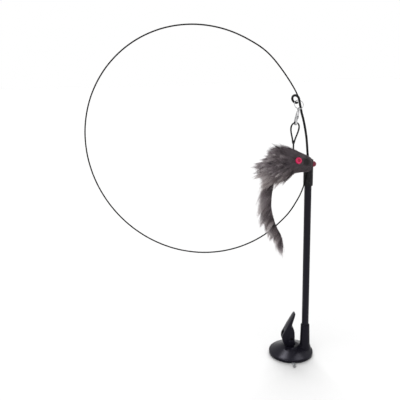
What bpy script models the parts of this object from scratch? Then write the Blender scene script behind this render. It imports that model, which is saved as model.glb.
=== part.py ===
"""Suction cup cat teaser: a lever suction base, an upright tube, a looped spring wire and a fur mouse.

Metres, +Z up. The origin is the centre of the suction pad's flat underside. X runs to the right and
Y away from someone who looks at the toy from its front. The lever is stored up, with the suction released.
"""

import math

import bmesh
import bpy
from mathutils import Matrix, Vector

MM = 0.001

# Fits
FIT = 0.3 * MM                      # gap between pieces that seat in one another
OVERCUT = 1.0 * MM                  # how far a cutter runs past what it cuts
ROUND_STEPS = 48                    # facets round a large turned piece
SMALL_STEPS = 24                    # facets round a small turned piece

# Suction pad
PAD_RADIUS = 27.2 * MM
PAD_RIM = 1.4 * MM                  # height of the pad's edge
PAD_EDGE = 0.8 * MM                 # slope over the pad's edge
PAD_FOOT_EDGE = 0.3 * MM            # small slope under it
PAD_FLOOR = 3.2 * MM                # rubber under the stem's flange
PAD_BOSS_RADIUS = 12.5 * MM
PAD_BOSS_TAPER = 1.3 * MM
PAD_BOSS_WALL = 0.9 * MM            # rubber lip over the flange
TAB_WIDTH = 4.6 * MM
TAB_LENGTH = 9.3 * MM               # from the pad's edge to the tab's end
TAB_ROOT = 3.0 * MM                 # tab's start inside the pad's edge
TAB_THICKNESS = 1.2 * MM
TAB_LIFT = 0.2 * MM
TAB_ANGLE = math.radians(-91.5)
TAB_BEAD_RADIUS = 1.2 * MM

# Stem moulded into the pad, and the lever's pin
FLANGE_RADIUS = 9.2 * MM
FLANGE_HEIGHT = 2.0 * MM
SHANK_RADIUS = 5.6 * MM
TANG_HALF_WIDTH = 3.8 * MM
TANG_THICKNESS = 6.0 * MM
TANG_ROOT = 1.0 * MM                # tang's start inside the shank
PIN_RADIUS = 1.5 * MM

# Cover
COVER_SKIRT = 1.0 * MM              # wall of the rim that hides the pad's edge
COVER_CLEAR = 0.9 * MM              # rim's height over the surface that the pad holds
COVER_ROOM = 1.0 * MM               # hollow's height over the pad's edge
COVER_ROOM_SLOPE = 0.6 * MM
LIP_HEIGHT = 3.6 * MM
LIP_ROUND = 0.8 * MM
LIP_WIDTH = 2.3 * MM                # from the rim's outside to the cone's foot
CONE_FOOT = 4.9 * MM
CONE_WALL = 2.0 * MM
PLATFORM_RADIUS = 9.4 * MM
PLATFORM_HEIGHT = 12.3 * MM
PLATFORM_EDGE = 0.7 * MM
PLATFORM_EDGE_DROP = 0.25 * MM
HOLLOW_INSET = 0.4 * MM             # hollow's flat roof against the platform
GUIDE_GAP = 0.4 * MM                # stem in the platform's guide hole

# Lever
LEVER_WIDTH = 13.0 * MM
CAM_LOW = 10.2 * MM                 # pin to cam face with the lever up
CAM_RISE = 2.74 * MM                # how far the locked lever draws the stem up
LEVER_LEAN = math.radians(27.6)     # lean of the raised paddle, to the right of upright
PADDLE_LENGTH = 32.7 * MM           # along the paddle's outer face, from the cam to the tip
PADDLE_TIP = 1.9 * MM               # paddle's thickness at its tip
PADDLE_BEVEL = 0.8 * MM             # slope at the end of the paddle's inner face
PADDLE_NARROW = 1.2 * MM            # each side draws in by this towards the tip
PADDLE_FULL = 13.4 * MM             # the paddle has its full width up to here
LEVER_FRONT = 4.1 * MM              # from the pin to the lever's right side
LEVER_TOE = 2.2 * MM                # rounding of the corner right of the cam
LEVER_EDGE = 0.6 * MM               # rounded edges
LEVER_SHOULDER = [(0.0, 4.5), (-0.2, 8.7), (-0.9, 12.3), (-2.4, 15.4), (-4.4, 17.0)]

# Tube socket, tube and sleeve
TUBE_X = 18.3 * MM
TUBE_RADIUS = 4.35 * MM
TUBE_WALL = 1.3 * MM
TUBE_TOP = 255.0 * MM
SOCKET_TOP = 40.3 * MM
SOCKET_WALL = 1.0 * MM              # at the mouth
SOCKET_TAPER = 0.8 * MM             # added to the radius at the foot
SOCKET_EDGE = 0.3 * MM
SOCKET_FLARE = 1.3 * MM             # fillet where the socket grows out of the cone
SOCKET_FLARE_TOP = 1.0 * MM         # over the platform
SOCKET_FLARE_FOOT = 3.5 * MM        # under the platform
SLEEVE_WALL = 1.15 * MM
SLEEVE_LENGTH = 32.0 * MM
SLEEVE_OVERRUN = 3.0 * MM           # sleeve's top over the tube's end
SLEEVE_EDGE = 0.35 * MM
PLUG_DEPTH = 22.0 * MM
PLUG_HEAD = 3.4 * MM
PLUG_DOME = 1.5 * MM
PLUG_DOME_WIDTH = 1.6 * MM

# Spring wire: one loop that ends in front of the tube. Places are from the centre of the tube's top end.
WIRE_RADIUS = 0.75 * MM
WIRE_SEAT = 20.0 * MM               # wire held inside the plug
LOOP_RADIUS = 133.4 * MM
LOOP_OVERLAP = 1.5 * MM             # how far the loop's right side lies past the tube's axis
LOOP_CENTRE_Z = 27.3 * MM
LOOP_GROWTH = 2.75 * MM             # the radius grows by this over a turn
LOOP_OVAL = 3.65 * MM
LOOP_OVAL_ANGLE = math.radians(-53.8)
LOOP_PITCH = 8.3 * MM               # the loop comes forward by this over a turn
LOOP_FROM = 48                      # degrees
LOOP_TO = 318
LOOP_STEP = 15
ROUTE_STEP = 11.0 * MM              # spacing of the points along the bent wire
RISE = [(-0.5, 0, 9), (-2.4, 0, 24), (-4.4, 0, 38), (-7.6, -0.2, 54), (-16.4, -0.5, 84)]
APPROACH = [(-13.9, -7.7, -44.4), (-6.8, -8.3, -27.3), (-3.8, -9.6, -12.0), (-3.3, -11.0, -1.0)]
SHANK = [(-3.4, -12.2, 8.0), (-5.3, -15.0, 26.8), (-7.3, -17.0, 39.2), (-10.4, -19.0, 53.0),
         (-13.3, -20.5, 62.8)]

# Black sheath over the wire's end, with its eyelet
SHEATH_WALL = 0.3 * MM
SHEATH_SEAT = 6.0 * MM              # wire held inside the sheath
SHEATH_STEP = 5.0 * MM
EYELET_SIDE = (-16.6, -22.8, 77.5)
EYELET_RADIUS = 4.4 * MM
EYELET_SWEEP = math.radians(288.0)
EYELET_YAW = math.radians(40.0)

# Jump ring
RING_RADIUS = 5.4 * MM
RING_WIRE = 0.45 * MM
RING_IN_EYELET = (0.935, 0.151, -0.412)  # ring's top from the eyelet's centre, in its inside radii
RING_TILT = math.radians(28.0)
RING_YAW = math.radians(13.0)
RING_SPLIT = math.radians(7.0)
RING_SPLIT_AT = math.radians(20.0)
RING_HANG_AT = math.radians(-104.0)  # where the clasp's eye hangs on the ring

# Swivel clasp, drawn from its eye downwards
CLASP_LEAN = math.radians(12.0)
CLASP_YAW = RING_YAW - math.pi / 2  # square to the ring
EYE_OUTSIDE = 2.0 * MM
EYE_BORE = 1.15 * MM
EYE_THICKNESS = 1.6 * MM
SWIVEL_PIN = 0.6 * MM
SWIVEL_HEAD = 1.1 * MM
SWIVEL_HEAD_HEIGHT = 0.8 * MM
COLLAR_TOP = 2.4 * MM               # from the eye's centre down to the clasp's collar
COLLAR_HEIGHT = 2.8 * MM
COLLAR_HALF_WIDTH = 1.9 * MM
COLLAR_EDGE = 0.5 * MM
WINDOW_HEIGHT = 1.8 * MM            # room for the swivel pin's head
CLASP_THICKNESS = 2.4 * MM
CLASP_EDGE = 0.25 * MM
CLASP_LENGTH = 18.6 * MM            # from the eye's centre to the claw's end
CLASP_HALF_WIDTH = 3.0 * MM
CLASP_WALL = 1.4 * MM
CLASP_BELLY = 0.2 * MM              # the body swells by this below its cheeks
CHEEK_HEIGHT = 0.8 * MM             # gate's bearing over the claw's opening
CLAW_ROOF = 9.7 * MM                # from the eye's centre down to the claw's opening
CLAW_NOSE = 3.6 * MM                # from the claw's floor up to the gate's tip
CLAW_SLOPE = 0.9 * MM               # corner cut of the claw's opening, under the rivet
GATE_THICKNESS = 1.0 * MM
GATE_WIDTH = 1.2 * MM
GATE_EAR = 0.85 * MM                # radius round the rivet
GATE_SLOT = 1.4 * MM                # room round the rivet for the gate's ear
GATE_THUMB = 1.0 * MM               # how far the thumb lug stands out
RIVET_RADIUS = 0.4 * MM
RIVET_FIT = 0.2 * MM
RIVET_DROP = 1.0 * MM               # from the rivet down to the claw's opening

# Elastic cord loop between the clasp and the mouse
CORD_RADIUS = 0.95 * MM
CORD_HANG = 0.8 * MM                # gap under the cord, over the claw's floor
CORD_HALF_WIDTH = 4.65 * MM
CORD_LENGTH = 22.2 * MM             # height of the loop
CORD_STEM = 10.5 * MM               # from the knot to the mouse's back
CORD_SEAT = 4.0 * MM                # cord inside the mouse
CORD_LEAN = 2.1 * MM                # knot's place to the left of the loop's top
KNOT_RADIUS = 2.0 * MM
LEG_SPACING = 2.2 * MM              # between the loop's two legs at the knot
DROP_WIDEST = 3 * math.sqrt(3) / 8  # largest value of the drop-shaped curve

# Fur mouse without its hair. Places are from where the cord enters its back.
BODY_CENTRE = Vector((-11.6, 0, -16.4)) * MM
BODY_SIZE = Vector((17.5, 12.0, 14.0)) * MM
NOSE_TIP = Vector((23.6, 0, -16.0)) * MM
HEAD_LENGTH = 29.0 * MM
HEAD_RADIUS = 11.8 * MM
HEAD_FLAT = 0.86                    # head's thickness against its height
HEAD_TILT = math.radians(7.0)
HEAD_PROFILE = [(0.0, 0.0), (0.28, 0.015), (0.5, 0.09), (0.68, 0.25), (0.85, 0.5), (0.97, 0.78), (1.0, 1.0)]
EYE_RADIUS = 3.6 * MM
EYE_SINK = 1.2 * MM                 # eye's centre under the head's surface
EYE_DEPTH = 18.5 * MM               # from the nose back along the head
EYE_ANGLE = math.radians(24.0)      # from the head's side up to the eye
NOSE_RADIUS = 2.4 * MM
TAIL_ROOT = (-0.571, 0.0, -0.786)   # tail's start from the body's centre, in half sizes of the body
TAIL_ROOT_RADIUS = 4.0 * MM
TAIL_TIP_RADIUS = 1.4 * MM
TAIL_STEP = 7.0 * MM
TAIL = [(0, 0), (-6.0, -15.0), (-10.2, -35.0), (-9.2, -54.0), (-2.5, -72.0), (6.0, -89.0), (12.0, -101.5)]

# Values that follow from the sizes above
FLANGE_BASE = PAD_FLOOR + FIT
FLANGE_TOP = FLANGE_BASE + FLANGE_HEIGHT
POCKET_TOP = FLANGE_TOP + FIT
BOSS_TOP = POCKET_TOP + PAD_BOSS_WALL
TAB_REACH = PAD_RADIUS + TAB_LENGTH
SKIRT_INSIDE = PAD_RADIUS + FIT
COVER_RADIUS = SKIRT_INSIDE + COVER_SKIRT
COVER_ROOF = PLATFORM_HEIGHT - CONE_WALL
PIN_Z = PLATFORM_HEIGHT + FIT + CAM_LOW
PIN_HOLE = PIN_RADIUS + FIT
BORE_RADIUS = TUBE_RADIUS + FIT
SOCKET_FLOOR = COVER_ROOF + FIT
TUBE_INSIDE = TUBE_RADIUS - TUBE_WALL
SLEEVE_INSIDE = TUBE_RADIUS + FIT
SLEEVE_TOP = TUBE_TOP + SLEEVE_OVERRUN
PLUG_TOP = TUBE_TOP + FIT + PLUG_HEAD
TUBE_END = Vector((TUBE_X, 0, TUBE_TOP))
SHEATH_RADIUS = WIRE_RADIUS + FIT + SHEATH_WALL
CLAW_FLOOR = CLASP_LENGTH - CLASP_WALL
CHEEK = CLAW_ROOF - CHEEK_HEIGHT
GATE_TIP = CLAW_FLOOR - CLAW_NOSE
GATE_PIVOT = Vector((CLASP_HALF_WIDTH / 2, 0, RIVET_DROP - CLAW_ROOF))
WINDOW_TOP = COLLAR_TOP + COLLAR_HEIGHT
RIVET_HOLE = RIVET_RADIUS + RIVET_FIT
LYING = Matrix.Rotation(math.radians(90), 4, "X")


# Scene helpers

def clear_scene():
    for obj in list(bpy.data.objects):
        bpy.data.objects.remove(obj, do_unlink=True)
    for collection in list(bpy.data.collections):
        bpy.data.collections.remove(collection)


def new_collection(name):
    collection = bpy.data.collections.new(name)
    bpy.context.scene.collection.children.link(collection)
    return collection


def material(name, colour, roughness, metallic=0.0, transmission=0.0):
    made = bpy.data.materials.new(name)
    made.use_nodes = True
    shader = made.node_tree.nodes["Principled BSDF"]
    shader.inputs["Base Color"].default_value = (*colour, 1.0)
    shader.inputs["Roughness"].default_value = roughness
    shader.inputs["Metallic"].default_value = metallic
    shader.inputs["Transmission Weight"].default_value = transmission
    return made


def place(obj, collection, parent=None, matrix=None):
    collection.objects.link(obj)
    if parent:
        obj.parent = parent
    if matrix:
        obj.matrix_local = matrix
    return obj


def empty(name, matrix, parent=None):
    obj = bpy.data.objects.new(name, None)
    obj.empty_display_size = 5 * MM
    place(obj, PARTS, parent, matrix)
    bpy.context.view_layer.update()
    return obj


def finish(obj, finish_material, smooth_angle=math.radians(40)):
    obj.data.materials.clear()
    obj.data.materials.append(finish_material)
    if obj.type == "MESH":
        obj.data.shade_smooth()
        obj.data.set_sharp_from_angle(angle=smooth_angle)
    return obj


def hang_on(obj, pivot):
    """Parent an object that was made in world places to an empty on its joint's axis."""
    obj.parent = pivot
    obj.matrix_parent_inverse = pivot.matrix_world.inverted()
    return obj


def as_cutter(obj):
    obj.hide_render = True
    obj.display_type = "WIRE"
    return obj


# Shape helpers

def turned(name, collection, profile, steps=ROUND_STEPS, closed=False, parent=None, matrix=None):
    """Revolve a profile of (radius, height) about the object's Z axis."""
    mesh = bpy.data.meshes.new(name)
    edges = [(i, i + 1) for i in range(len(profile) - 1)]
    if closed:
        edges.append((len(profile) - 1, 0))
    mesh.from_pydata([(r, 0.0, z) for r, z in profile], edges, [])
    obj = place(bpy.data.objects.new(name, mesh), collection, parent, matrix)
    screw = obj.modifiers.new("turn", "SCREW")
    screw.steps = steps
    screw.render_steps = steps
    screw.use_merge_vertices = True
    screw.merge_threshold = 0.00001
    return obj


def cylinder(name, collection, radius, low, high, steps=SMALL_STEPS, parent=None, matrix=None):
    profile = [(0, high), (radius, high), (radius, low), (0, low)]
    return turned(name, collection, profile, steps, False, parent, matrix)


def flat_outline(name, collection, outline, thickness, parent=None, matrix=None):
    """Extrude an outline of (x, z) points to both sides of the object's XZ plane, as a mesh."""
    curve = bpy.data.curves.new(name, "CURVE")
    curve.dimensions = "2D"
    curve.fill_mode = "BOTH"
    curve.extrude = thickness / 2
    spline = curve.splines.new("POLY")
    spline.points.add(len(outline) - 1)
    for point, (x, z) in zip(spline.points, outline):
        point.co = (x, z, 0.0, 1.0)
    spline.use_cyclic_u = True
    return as_mesh(place(bpy.data.objects.new(name, curve), collection, parent, matrix), LYING)


def tube_along(name, collection, points, radius, radii=None):
    """Round tube with closed ends along a list of points."""
    curve = bpy.data.curves.new(name, "CURVE")
    curve.dimensions = "3D"
    curve.bevel_depth = radius
    curve.bevel_resolution = 2
    curve.use_fill_caps = True
    spline = curve.splines.new("POLY")
    spline.points.add(len(points) - 1)
    for i, point in enumerate(points):
        spline.points[i].co = (*point, 1.0)
        spline.points[i].radius = radii[i] if radii else 1.0
    return place(bpy.data.objects.new(name, curve), collection)


def as_mesh(obj, turn=None):
    """Swap a curve object for a mesh of the same shape, so that it can be cut or joined."""
    bpy.context.view_layer.update()
    graph = bpy.context.evaluated_depsgraph_get()
    mesh = bpy.data.meshes.new_from_object(obj.evaluated_get(graph))
    shape = bmesh.new()
    shape.from_mesh(mesh)
    bmesh.ops.remove_doubles(shape, verts=shape.verts, dist=0.000001)
    if turn:
        flat = math.radians(1)
        bmesh.ops.dissolve_limit(shape, angle_limit=flat, verts=shape.verts, edges=shape.edges)
    bmesh.ops.recalc_face_normals(shape, faces=shape.faces)
    shape.to_mesh(mesh)
    shape.free()
    if turn:
        mesh.transform(turn)
    swapped = bpy.data.objects.new(obj.name, mesh)
    name = obj.name
    obj.users_collection[0].objects.link(swapped)
    swapped.parent = obj.parent
    swapped.matrix_parent_inverse = obj.matrix_parent_inverse
    bpy.context.view_layer.update()
    swapped.matrix_world = obj.matrix_world
    bpy.data.objects.remove(obj, do_unlink=True)
    swapped.name = name
    return swapped


def sphere(name, collection, centre, size, segments=16, rings=10):
    bpy.ops.mesh.primitive_uv_sphere_add(segments=segments, ring_count=rings, radius=1.0)
    obj = bpy.context.object
    obj.name = name
    for owner in list(obj.users_collection):
        owner.objects.unlink(obj)
    collection.objects.link(obj)
    obj.data.transform(Matrix.Translation(centre) @ Matrix.Diagonal((*size, 1.0)))
    return obj


def join_or_cut(obj, other, operation):
    boolean = obj.modifiers.new(operation.lower() + " " + other.name, "BOOLEAN")
    boolean.operation = operation
    boolean.object = as_cutter(other)
    boolean.solver = "EXACT"
    return obj


def cut(obj, *cutters):
    for cutter in cutters:
        join_or_cut(obj, cutter, "DIFFERENCE")
    return obj


def join(obj, *others):
    for other in others:
        join_or_cut(obj, other, "UNION")
    return obj


def round_edges(obj, width, segments=2):
    bevel = obj.modifiers.new("edges", "BEVEL")
    bevel.width = width
    bevel.segments = segments
    bevel.limit_method = "ANGLE"
    bevel.angle_limit = math.radians(35)
    return obj


def box_outline(left, right, low, high):
    return [(left, low), (right, low), (right, high), (left, high)]


def arc(centre, radius, start, end, steps):
    """Points of (x, z) on an arc, with angles in radians."""
    angles = [start + (end - start) * i / steps for i in range(steps + 1)]
    return [(centre[0] + radius * math.cos(a), centre[1] + radius * math.sin(a)) for a in angles]


def smooth_route(points, step):
    """Evenly spaced points on a smooth curve through the given ones."""
    points = [Vector(p) for p in points]
    ends = [2 * points[0] - points[1]] + points + [2 * points[-1] - points[-2]]
    dense = [points[0]]
    for before, a, b, after in zip(ends, ends[1:], ends[2:], ends[3:]):
        for i in range(1, 13):
            t = i / 12
            dense.append(0.5 * (2 * a + (b - before) * t + (2 * before - 5 * a + 4 * b - after) * t ** 2
                                + (3 * a - before - 3 * b + after) * t ** 3))
    return spread(dense, step)


def spread(dense, step):
    lengths = [0.0]
    for a, b in zip(dense, dense[1:]):
        lengths.append(lengths[-1] + (b - a).length)
    count = max(2, round(lengths[-1] / step))
    spaced = []
    at = 0
    for i in range(count + 1):
        wanted = lengths[-1] * i / count
        while at < len(dense) - 2 and lengths[at + 1] < wanted:
            at += 1
        share = (wanted - lengths[at]) / (lengths[at + 1] - lengths[at])
        spaced.append(dense[at].lerp(dense[at + 1], share))
    return spaced


def least_self_gap(points, radius, apart):
    """Least gap between stretches of a tube that lie further apart than a length along it."""
    lengths = [0.0]
    for a, b in zip(points, points[1:]):
        lengths.append(lengths[-1] + (b - a).length)
    pairs = [(a - b).length for i, a in enumerate(points) for j, b in enumerate(points)
             if lengths[j] - lengths[i] > apart]
    return min(pairs) - 2 * radius


# Suction base

def suction_pad(rubber):
    profile = [
        (0, PAD_FLOOR), (FLANGE_RADIUS + FIT, PAD_FLOOR), (FLANGE_RADIUS + FIT, POCKET_TOP),
        (SHANK_RADIUS + FIT, POCKET_TOP), (SHANK_RADIUS + FIT, BOSS_TOP),
        (PAD_BOSS_RADIUS - PAD_BOSS_TAPER, BOSS_TOP), (PAD_BOSS_RADIUS, PAD_FLOOR + PAD_EDGE),
        (PAD_RADIUS - PAD_EDGE, PAD_RIM + PAD_EDGE), (PAD_RADIUS, PAD_RIM), (PAD_RADIUS, PAD_FOOT_EDGE),
        (PAD_RADIUS - PAD_FOOT_EDGE, 0), (0, 0),
    ]
    pad = turned("suction_pad", PARTS, profile)
    out = Matrix.Rotation(TAB_ANGLE, 4, "Z")
    strip_end = TAB_REACH - TAB_BEAD_RADIUS / 2
    strip = box_outline(PAD_RADIUS - TAB_ROOT, strip_end, TAB_LIFT, TAB_LIFT + TAB_THICKNESS)
    tab = flat_outline("tab_strip", CUTTERS, strip, TAB_WIDTH, None, out)
    at_end = out @ Matrix.Translation((TAB_REACH, 0, TAB_LIFT + TAB_BEAD_RADIUS)) @ LYING
    half = TAB_WIDTH / 2
    bead = cylinder("tab_bead", CUTTERS, TAB_BEAD_RADIUS, -half, half, 12, None, at_end)
    return finish(join(pad, tab, bead), rubber)


def pad_stem(plastic):
    top = PLATFORM_HEIGHT - FIT - CAM_RISE
    profile = [(0, top), (SHANK_RADIUS, top), (SHANK_RADIUS, FLANGE_TOP), (FLANGE_RADIUS, FLANGE_TOP),
               (FLANGE_RADIUS, FLANGE_BASE), (0, FLANGE_BASE)]
    stem = turned("pad_stem", PARTS, profile, SMALL_STEPS)
    half = TANG_HALF_WIDTH
    outline = [(half, top - TANG_ROOT)] + arc((0, PIN_Z), half, 0, math.pi, 10) + [(-half, top - TANG_ROOT)]
    tang = flat_outline("stem_tang", CUTTERS, outline, TANG_THICKNESS)
    through = TANG_THICKNESS
    hole = cylinder("stem_pin_hole", CUTTERS, PIN_HOLE, -through, through, 16, None, pin_line())
    return hang_on(finish(cut(join(stem, tang), hole), plastic), STEM_LIFT)


def pin_line():
    return Matrix.Translation((0, 0, PIN_Z)) @ LYING


def lever_pin(steel):
    half = LEVER_WIDTH / 2 - FIT
    pin = cylinder("lever_pin", PARTS, PIN_RADIUS, -half, half, 16, None, pin_line())
    return hang_on(finish(round_edges(pin, FIT, 1), steel), STEM_LIFT)


def base_cover(plastic):
    """Cone with a rolled rim, a platform for the lever, a socket for the tube and a notch for the tab."""
    outside = [
        (0, PLATFORM_HEIGHT), (PLATFORM_RADIUS, PLATFORM_HEIGHT),
        (PLATFORM_RADIUS + PLATFORM_EDGE, PLATFORM_HEIGHT - PLATFORM_EDGE_DROP),
        (COVER_RADIUS - LIP_WIDTH, CONE_FOOT),
    ]
    outside += arc((COVER_RADIUS - LIP_ROUND, LIP_HEIGHT), LIP_ROUND, math.pi / 2, 0, 3)
    outside += [(COVER_RADIUS, COVER_CLEAR), (0, COVER_CLEAR)]
    cover = turned("base_cover", PARTS, outside, 64)

    off_seam = Matrix.Rotation(math.radians(2), 4, "Z")
    at_tube = Matrix.Translation((TUBE_X, 0, 0)) @ off_seam
    mouth = BORE_RADIUS + SOCKET_WALL
    waist = mouth + SOCKET_TAPER
    foot = waist + SOCKET_FLARE
    low = COVER_CLEAR + OVERCUT
    socket = [
        (0, SOCKET_TOP), (mouth - SOCKET_EDGE, SOCKET_TOP), (mouth, SOCKET_TOP - SOCKET_EDGE),
        (waist, PLATFORM_HEIGHT + SOCKET_FLARE_TOP), (foot, PLATFORM_HEIGHT - SOCKET_FLARE_FOOT),
        (foot, low), (0, low),
    ]
    boss = turned("cover_socket", CUTTERS, socket, 32, False, None, at_tube)
    over = SOCKET_TOP + OVERCUT
    bore = cylinder("cover_bore", CUTTERS, BORE_RADIUS, SOCKET_FLOOR, over, 32, None, at_tube)

    room = PAD_RIM + COVER_ROOM
    hollow = [
        (0, COVER_ROOF), (PLATFORM_RADIUS - HOLLOW_INSET, COVER_ROOF),
        (SKIRT_INSIDE - LIP_WIDTH, room + COVER_ROOM_SLOPE), (SKIRT_INSIDE, room), (SKIRT_INSIDE, -OVERCUT),
        (0, -OVERCUT),
    ]
    cavity = turned("cover_hollow", CUTTERS, hollow, 64)
    guide = cylinder("cover_guide", CUTTERS, SHANK_RADIUS + GUIDE_GAP, COVER_ROOF - OVERCUT,
                     PLATFORM_HEIGHT + OVERCUT, 32, None, off_seam)
    tab_top = TAB_LIFT + TAB_THICKNESS + FIT
    gap = box_outline(PAD_RADIUS - OVERCUT, COVER_RADIUS + OVERCUT, -OVERCUT, tab_top)
    out = Matrix.Rotation(TAB_ANGLE, 4, "Z")
    notch = flat_outline("cover_notch", CUTTERS, gap, TAB_WIDTH + 2 * FIT, None, out)
    join(cover, boss)
    return finish(cut(cover, cavity, bore, guide, notch), plastic)


def lever_outline():
    """Side view of the lever about its pin: a spiral cam below, a tapering paddle above."""
    face = math.pi / 2 + (math.pi / 2 - LEVER_LEAN)
    along = Vector((math.sin(LEVER_LEAN), math.cos(LEVER_LEAN)))
    normal = Vector((math.cos(face), math.sin(face)))
    cam_high = CAM_LOW + CAM_RISE
    tip = normal * cam_high + along * PADDLE_LENGTH
    inner_tip = normal * (cam_high - PADDLE_TIP) + along * (PADDLE_LENGTH - PADDLE_BEVEL)
    between = inner_tip.lerp(tip, 0.5) + along * PADDLE_BEVEL * 0.75
    outline = arc((LEVER_FRONT - LEVER_TOE, LEVER_TOE - CAM_LOW), LEVER_TOE, -math.pi / 2, 0, 4)
    outline += [(LEVER_FRONT + x * MM, z * MM) for x, z in LEVER_SHOULDER]
    outline += [tuple(inner_tip), tuple(between), tuple(tip)]
    steps = 16
    for i in range(steps + 1):
        share = i / steps
        angle = face + (1.5 * math.pi - face) * share
        radius = cam_high - CAM_RISE * share
        outline.append((radius * math.cos(angle), radius * math.sin(angle)))
    return outline


def lever_slot():
    """Room for the stem's tang between the lever's two cheeks, over the whole swing."""
    half = TANG_HALF_WIDTH + 2 * FIT
    reach = (CAM_LOW + CAM_RISE) * 1.5
    across = Vector((math.sin(LEVER_LEAN), math.cos(LEVER_LEAN))) * half
    back = Vector((-math.cos(LEVER_LEAN), math.sin(LEVER_LEAN))) * reach
    outline = [(half, -reach)] + arc((0, 0), half, 0, math.pi / 2 - LEVER_LEAN, 8)
    return outline + [tuple(across + back), (-reach, -reach)]


def paddle_plan():
    """The lever seen square to its paddle: straight sides and a rounded end."""
    half = LEVER_WIDTH / 2 + FIT
    tip = LEVER_WIDTH / 2 - PADDLE_NARROW
    below = -2 * PADDLE_LENGTH
    sides = [(-half, PADDLE_FULL), (-half, below), (half, below), (half, PADDLE_FULL)]
    return sides + arc((0, PADDLE_LENGTH + PADDLE_BEVEL - tip), tip, 0, math.pi, 10)


def lock_lever(plastic):
    lever = flat_outline("lock_lever", PARTS, lever_outline(), LEVER_WIDTH, LEVER_TURN)
    leaning = Matrix.Rotation(LEVER_LEAN, 4, "Y") @ Matrix.Rotation(math.pi / 2, 4, "Z")
    plan = flat_outline("lever_plan", CUTTERS, paddle_plan(), 2 * PADDLE_LENGTH, LEVER_TURN, leaning)
    join_or_cut(lever, plan, "INTERSECT")
    round_edges(lever, LEVER_EDGE)
    slot = flat_outline("lever_slot", CUTTERS, lever_slot(), TANG_THICKNESS + 2 * FIT, LEVER_TURN)
    hole = cylinder("lever_pin_hole", CUTTERS, PIN_HOLE, -LEVER_WIDTH, LEVER_WIDTH, 16, LEVER_TURN, LYING)
    return finish(cut(lever, hole, slot), plastic)


# Upright tube and wire

def support_tube(plastic):
    low = SOCKET_FLOOR + FIT
    profile = [(TUBE_INSIDE, TUBE_TOP), (TUBE_RADIUS, TUBE_TOP), (TUBE_RADIUS, low), (TUBE_INSIDE, low)]
    return finish(turned("support_tube", PARTS, profile, 32, True, TUBE_TURN), plastic)


def tube_sleeve(rubber):
    outside = SLEEVE_INSIDE + SLEEVE_WALL
    low = SLEEVE_TOP - SLEEVE_LENGTH
    edge = SLEEVE_EDGE
    profile = [(SLEEVE_INSIDE, SLEEVE_TOP), (outside - edge, SLEEVE_TOP), (outside, SLEEVE_TOP - edge),
               (outside, low + edge), (outside - edge, low), (SLEEVE_INSIDE, low)]
    return finish(turned("tube_sleeve", PARTS, profile, 32, True, TUBE_TURN), rubber)


def wire_plug(rubber):
    head = SLEEVE_INSIDE - FIT
    shank = TUBE_INSIDE - FIT
    bore = WIRE_RADIUS + FIT
    low = TUBE_TOP - PLUG_DEPTH
    crown = PLUG_TOP - 0.15 * PLUG_DOME
    profile = [(bore, PLUG_TOP), (head - PLUG_DOME_WIDTH, crown), (head, PLUG_TOP - PLUG_DOME),
               (head, TUBE_TOP + FIT), (shank, TUBE_TOP + FIT), (shank, low), (bore, low)]
    return finish(turned("wire_plug", PARTS, profile, SMALL_STEPS, True, TUBE_TURN), rubber)


def loop_point(degrees):
    angle = math.radians(degrees)
    turn = angle / (2 * math.pi)
    radius = LOOP_RADIUS + LOOP_GROWTH * turn + LOOP_OVAL * math.cos(2 * (angle - LOOP_OVAL_ANGLE))
    centre = TUBE_END + Vector((LOOP_OVERLAP - LOOP_RADIUS, -LOOP_PITCH * turn, LOOP_CENTRE_Z))
    return centre + Vector((math.cos(angle), 0, math.sin(angle))) * radius


def from_tube_end(place):
    return TUBE_END + Vector(place) * MM


def wire_route():
    """From inside the plug, up, once round the loop and up in front of the sleeve."""
    held = [TUBE_END + Vector((0, 0, height)) for height in (-WIRE_SEAT, -WIRE_SEAT / 2, 0)]
    loop = [loop_point(degrees) for degrees in range(LOOP_FROM, LOOP_TO + 1, LOOP_STEP)]
    return held + [from_tube_end(p) for p in RISE] + loop + [from_tube_end(p) for p in APPROACH]


def spring_wire(steel):
    points = smooth_route(wire_route(), ROUTE_STEP)
    gap = least_self_gap(points, WIRE_RADIUS, LOOP_RADIUS)
    print("spring wire: least gap to itself %.2f mm" % (gap / MM))
    return hang_on(finish(as_mesh(tube_along("spring_wire", PARTS, points, WIRE_RADIUS)), steel), TUBE_TURN)


def eyelet_frame():
    """Centre of the eyelet, with the ways up along its shank and across to its far side."""
    upright = from_tube_end(EYELET_SIDE)
    up = (upright - from_tube_end(SHANK[-1])).normalized()
    side = Vector((-math.cos(EYELET_YAW), math.sin(EYELET_YAW), 0))
    side = (side - up * side.dot(up)).normalized()
    return upright + side * EYELET_RADIUS, up, side


def eyelet_points():
    """The end's hook: from its straight side over the top and nearly back to it."""
    centre, up, side = eyelet_frame()
    steps = 22
    angles = [EYELET_SWEEP * i / steps for i in range(steps + 1)]
    return [centre + (up * math.sin(a) - side * math.cos(a)) * EYELET_RADIUS for a in angles]


def end_sheath(rubber):
    wire_end = from_tube_end(APPROACH[-1])
    before = from_tube_end(APPROACH[-2])
    start = wire_end + (before - wire_end).normalized() * SHEATH_SEAT
    shank = [start, wire_end] + [from_tube_end(p) for p in SHANK + [EYELET_SIDE]]
    points = smooth_route(shank, SHEATH_STEP) + eyelet_points()[1:]
    gap = least_self_gap(points, SHEATH_RADIUS, EYELET_RADIUS * 4)
    print("end sheath: least gap to itself %.2f mm" % (gap / MM))
    sheath = as_mesh(tube_along("end_sheath", PARTS, points, SHEATH_RADIUS))
    mouth = start + (start - wire_end).normalized() * OVERCUT
    bottom = wire_end + (from_tube_end(SHANK[0]) - wire_end).normalized() * FIT
    seat = [mouth, start, wire_end, bottom]
    bore = as_mesh(tube_along("sheath_bore", CUTTERS, seat, WIRE_RADIUS + FIT))
    return hang_on(finish(cut(sheath, bore), rubber), TUBE_TURN)


# Ring, clasp and cord

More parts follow.
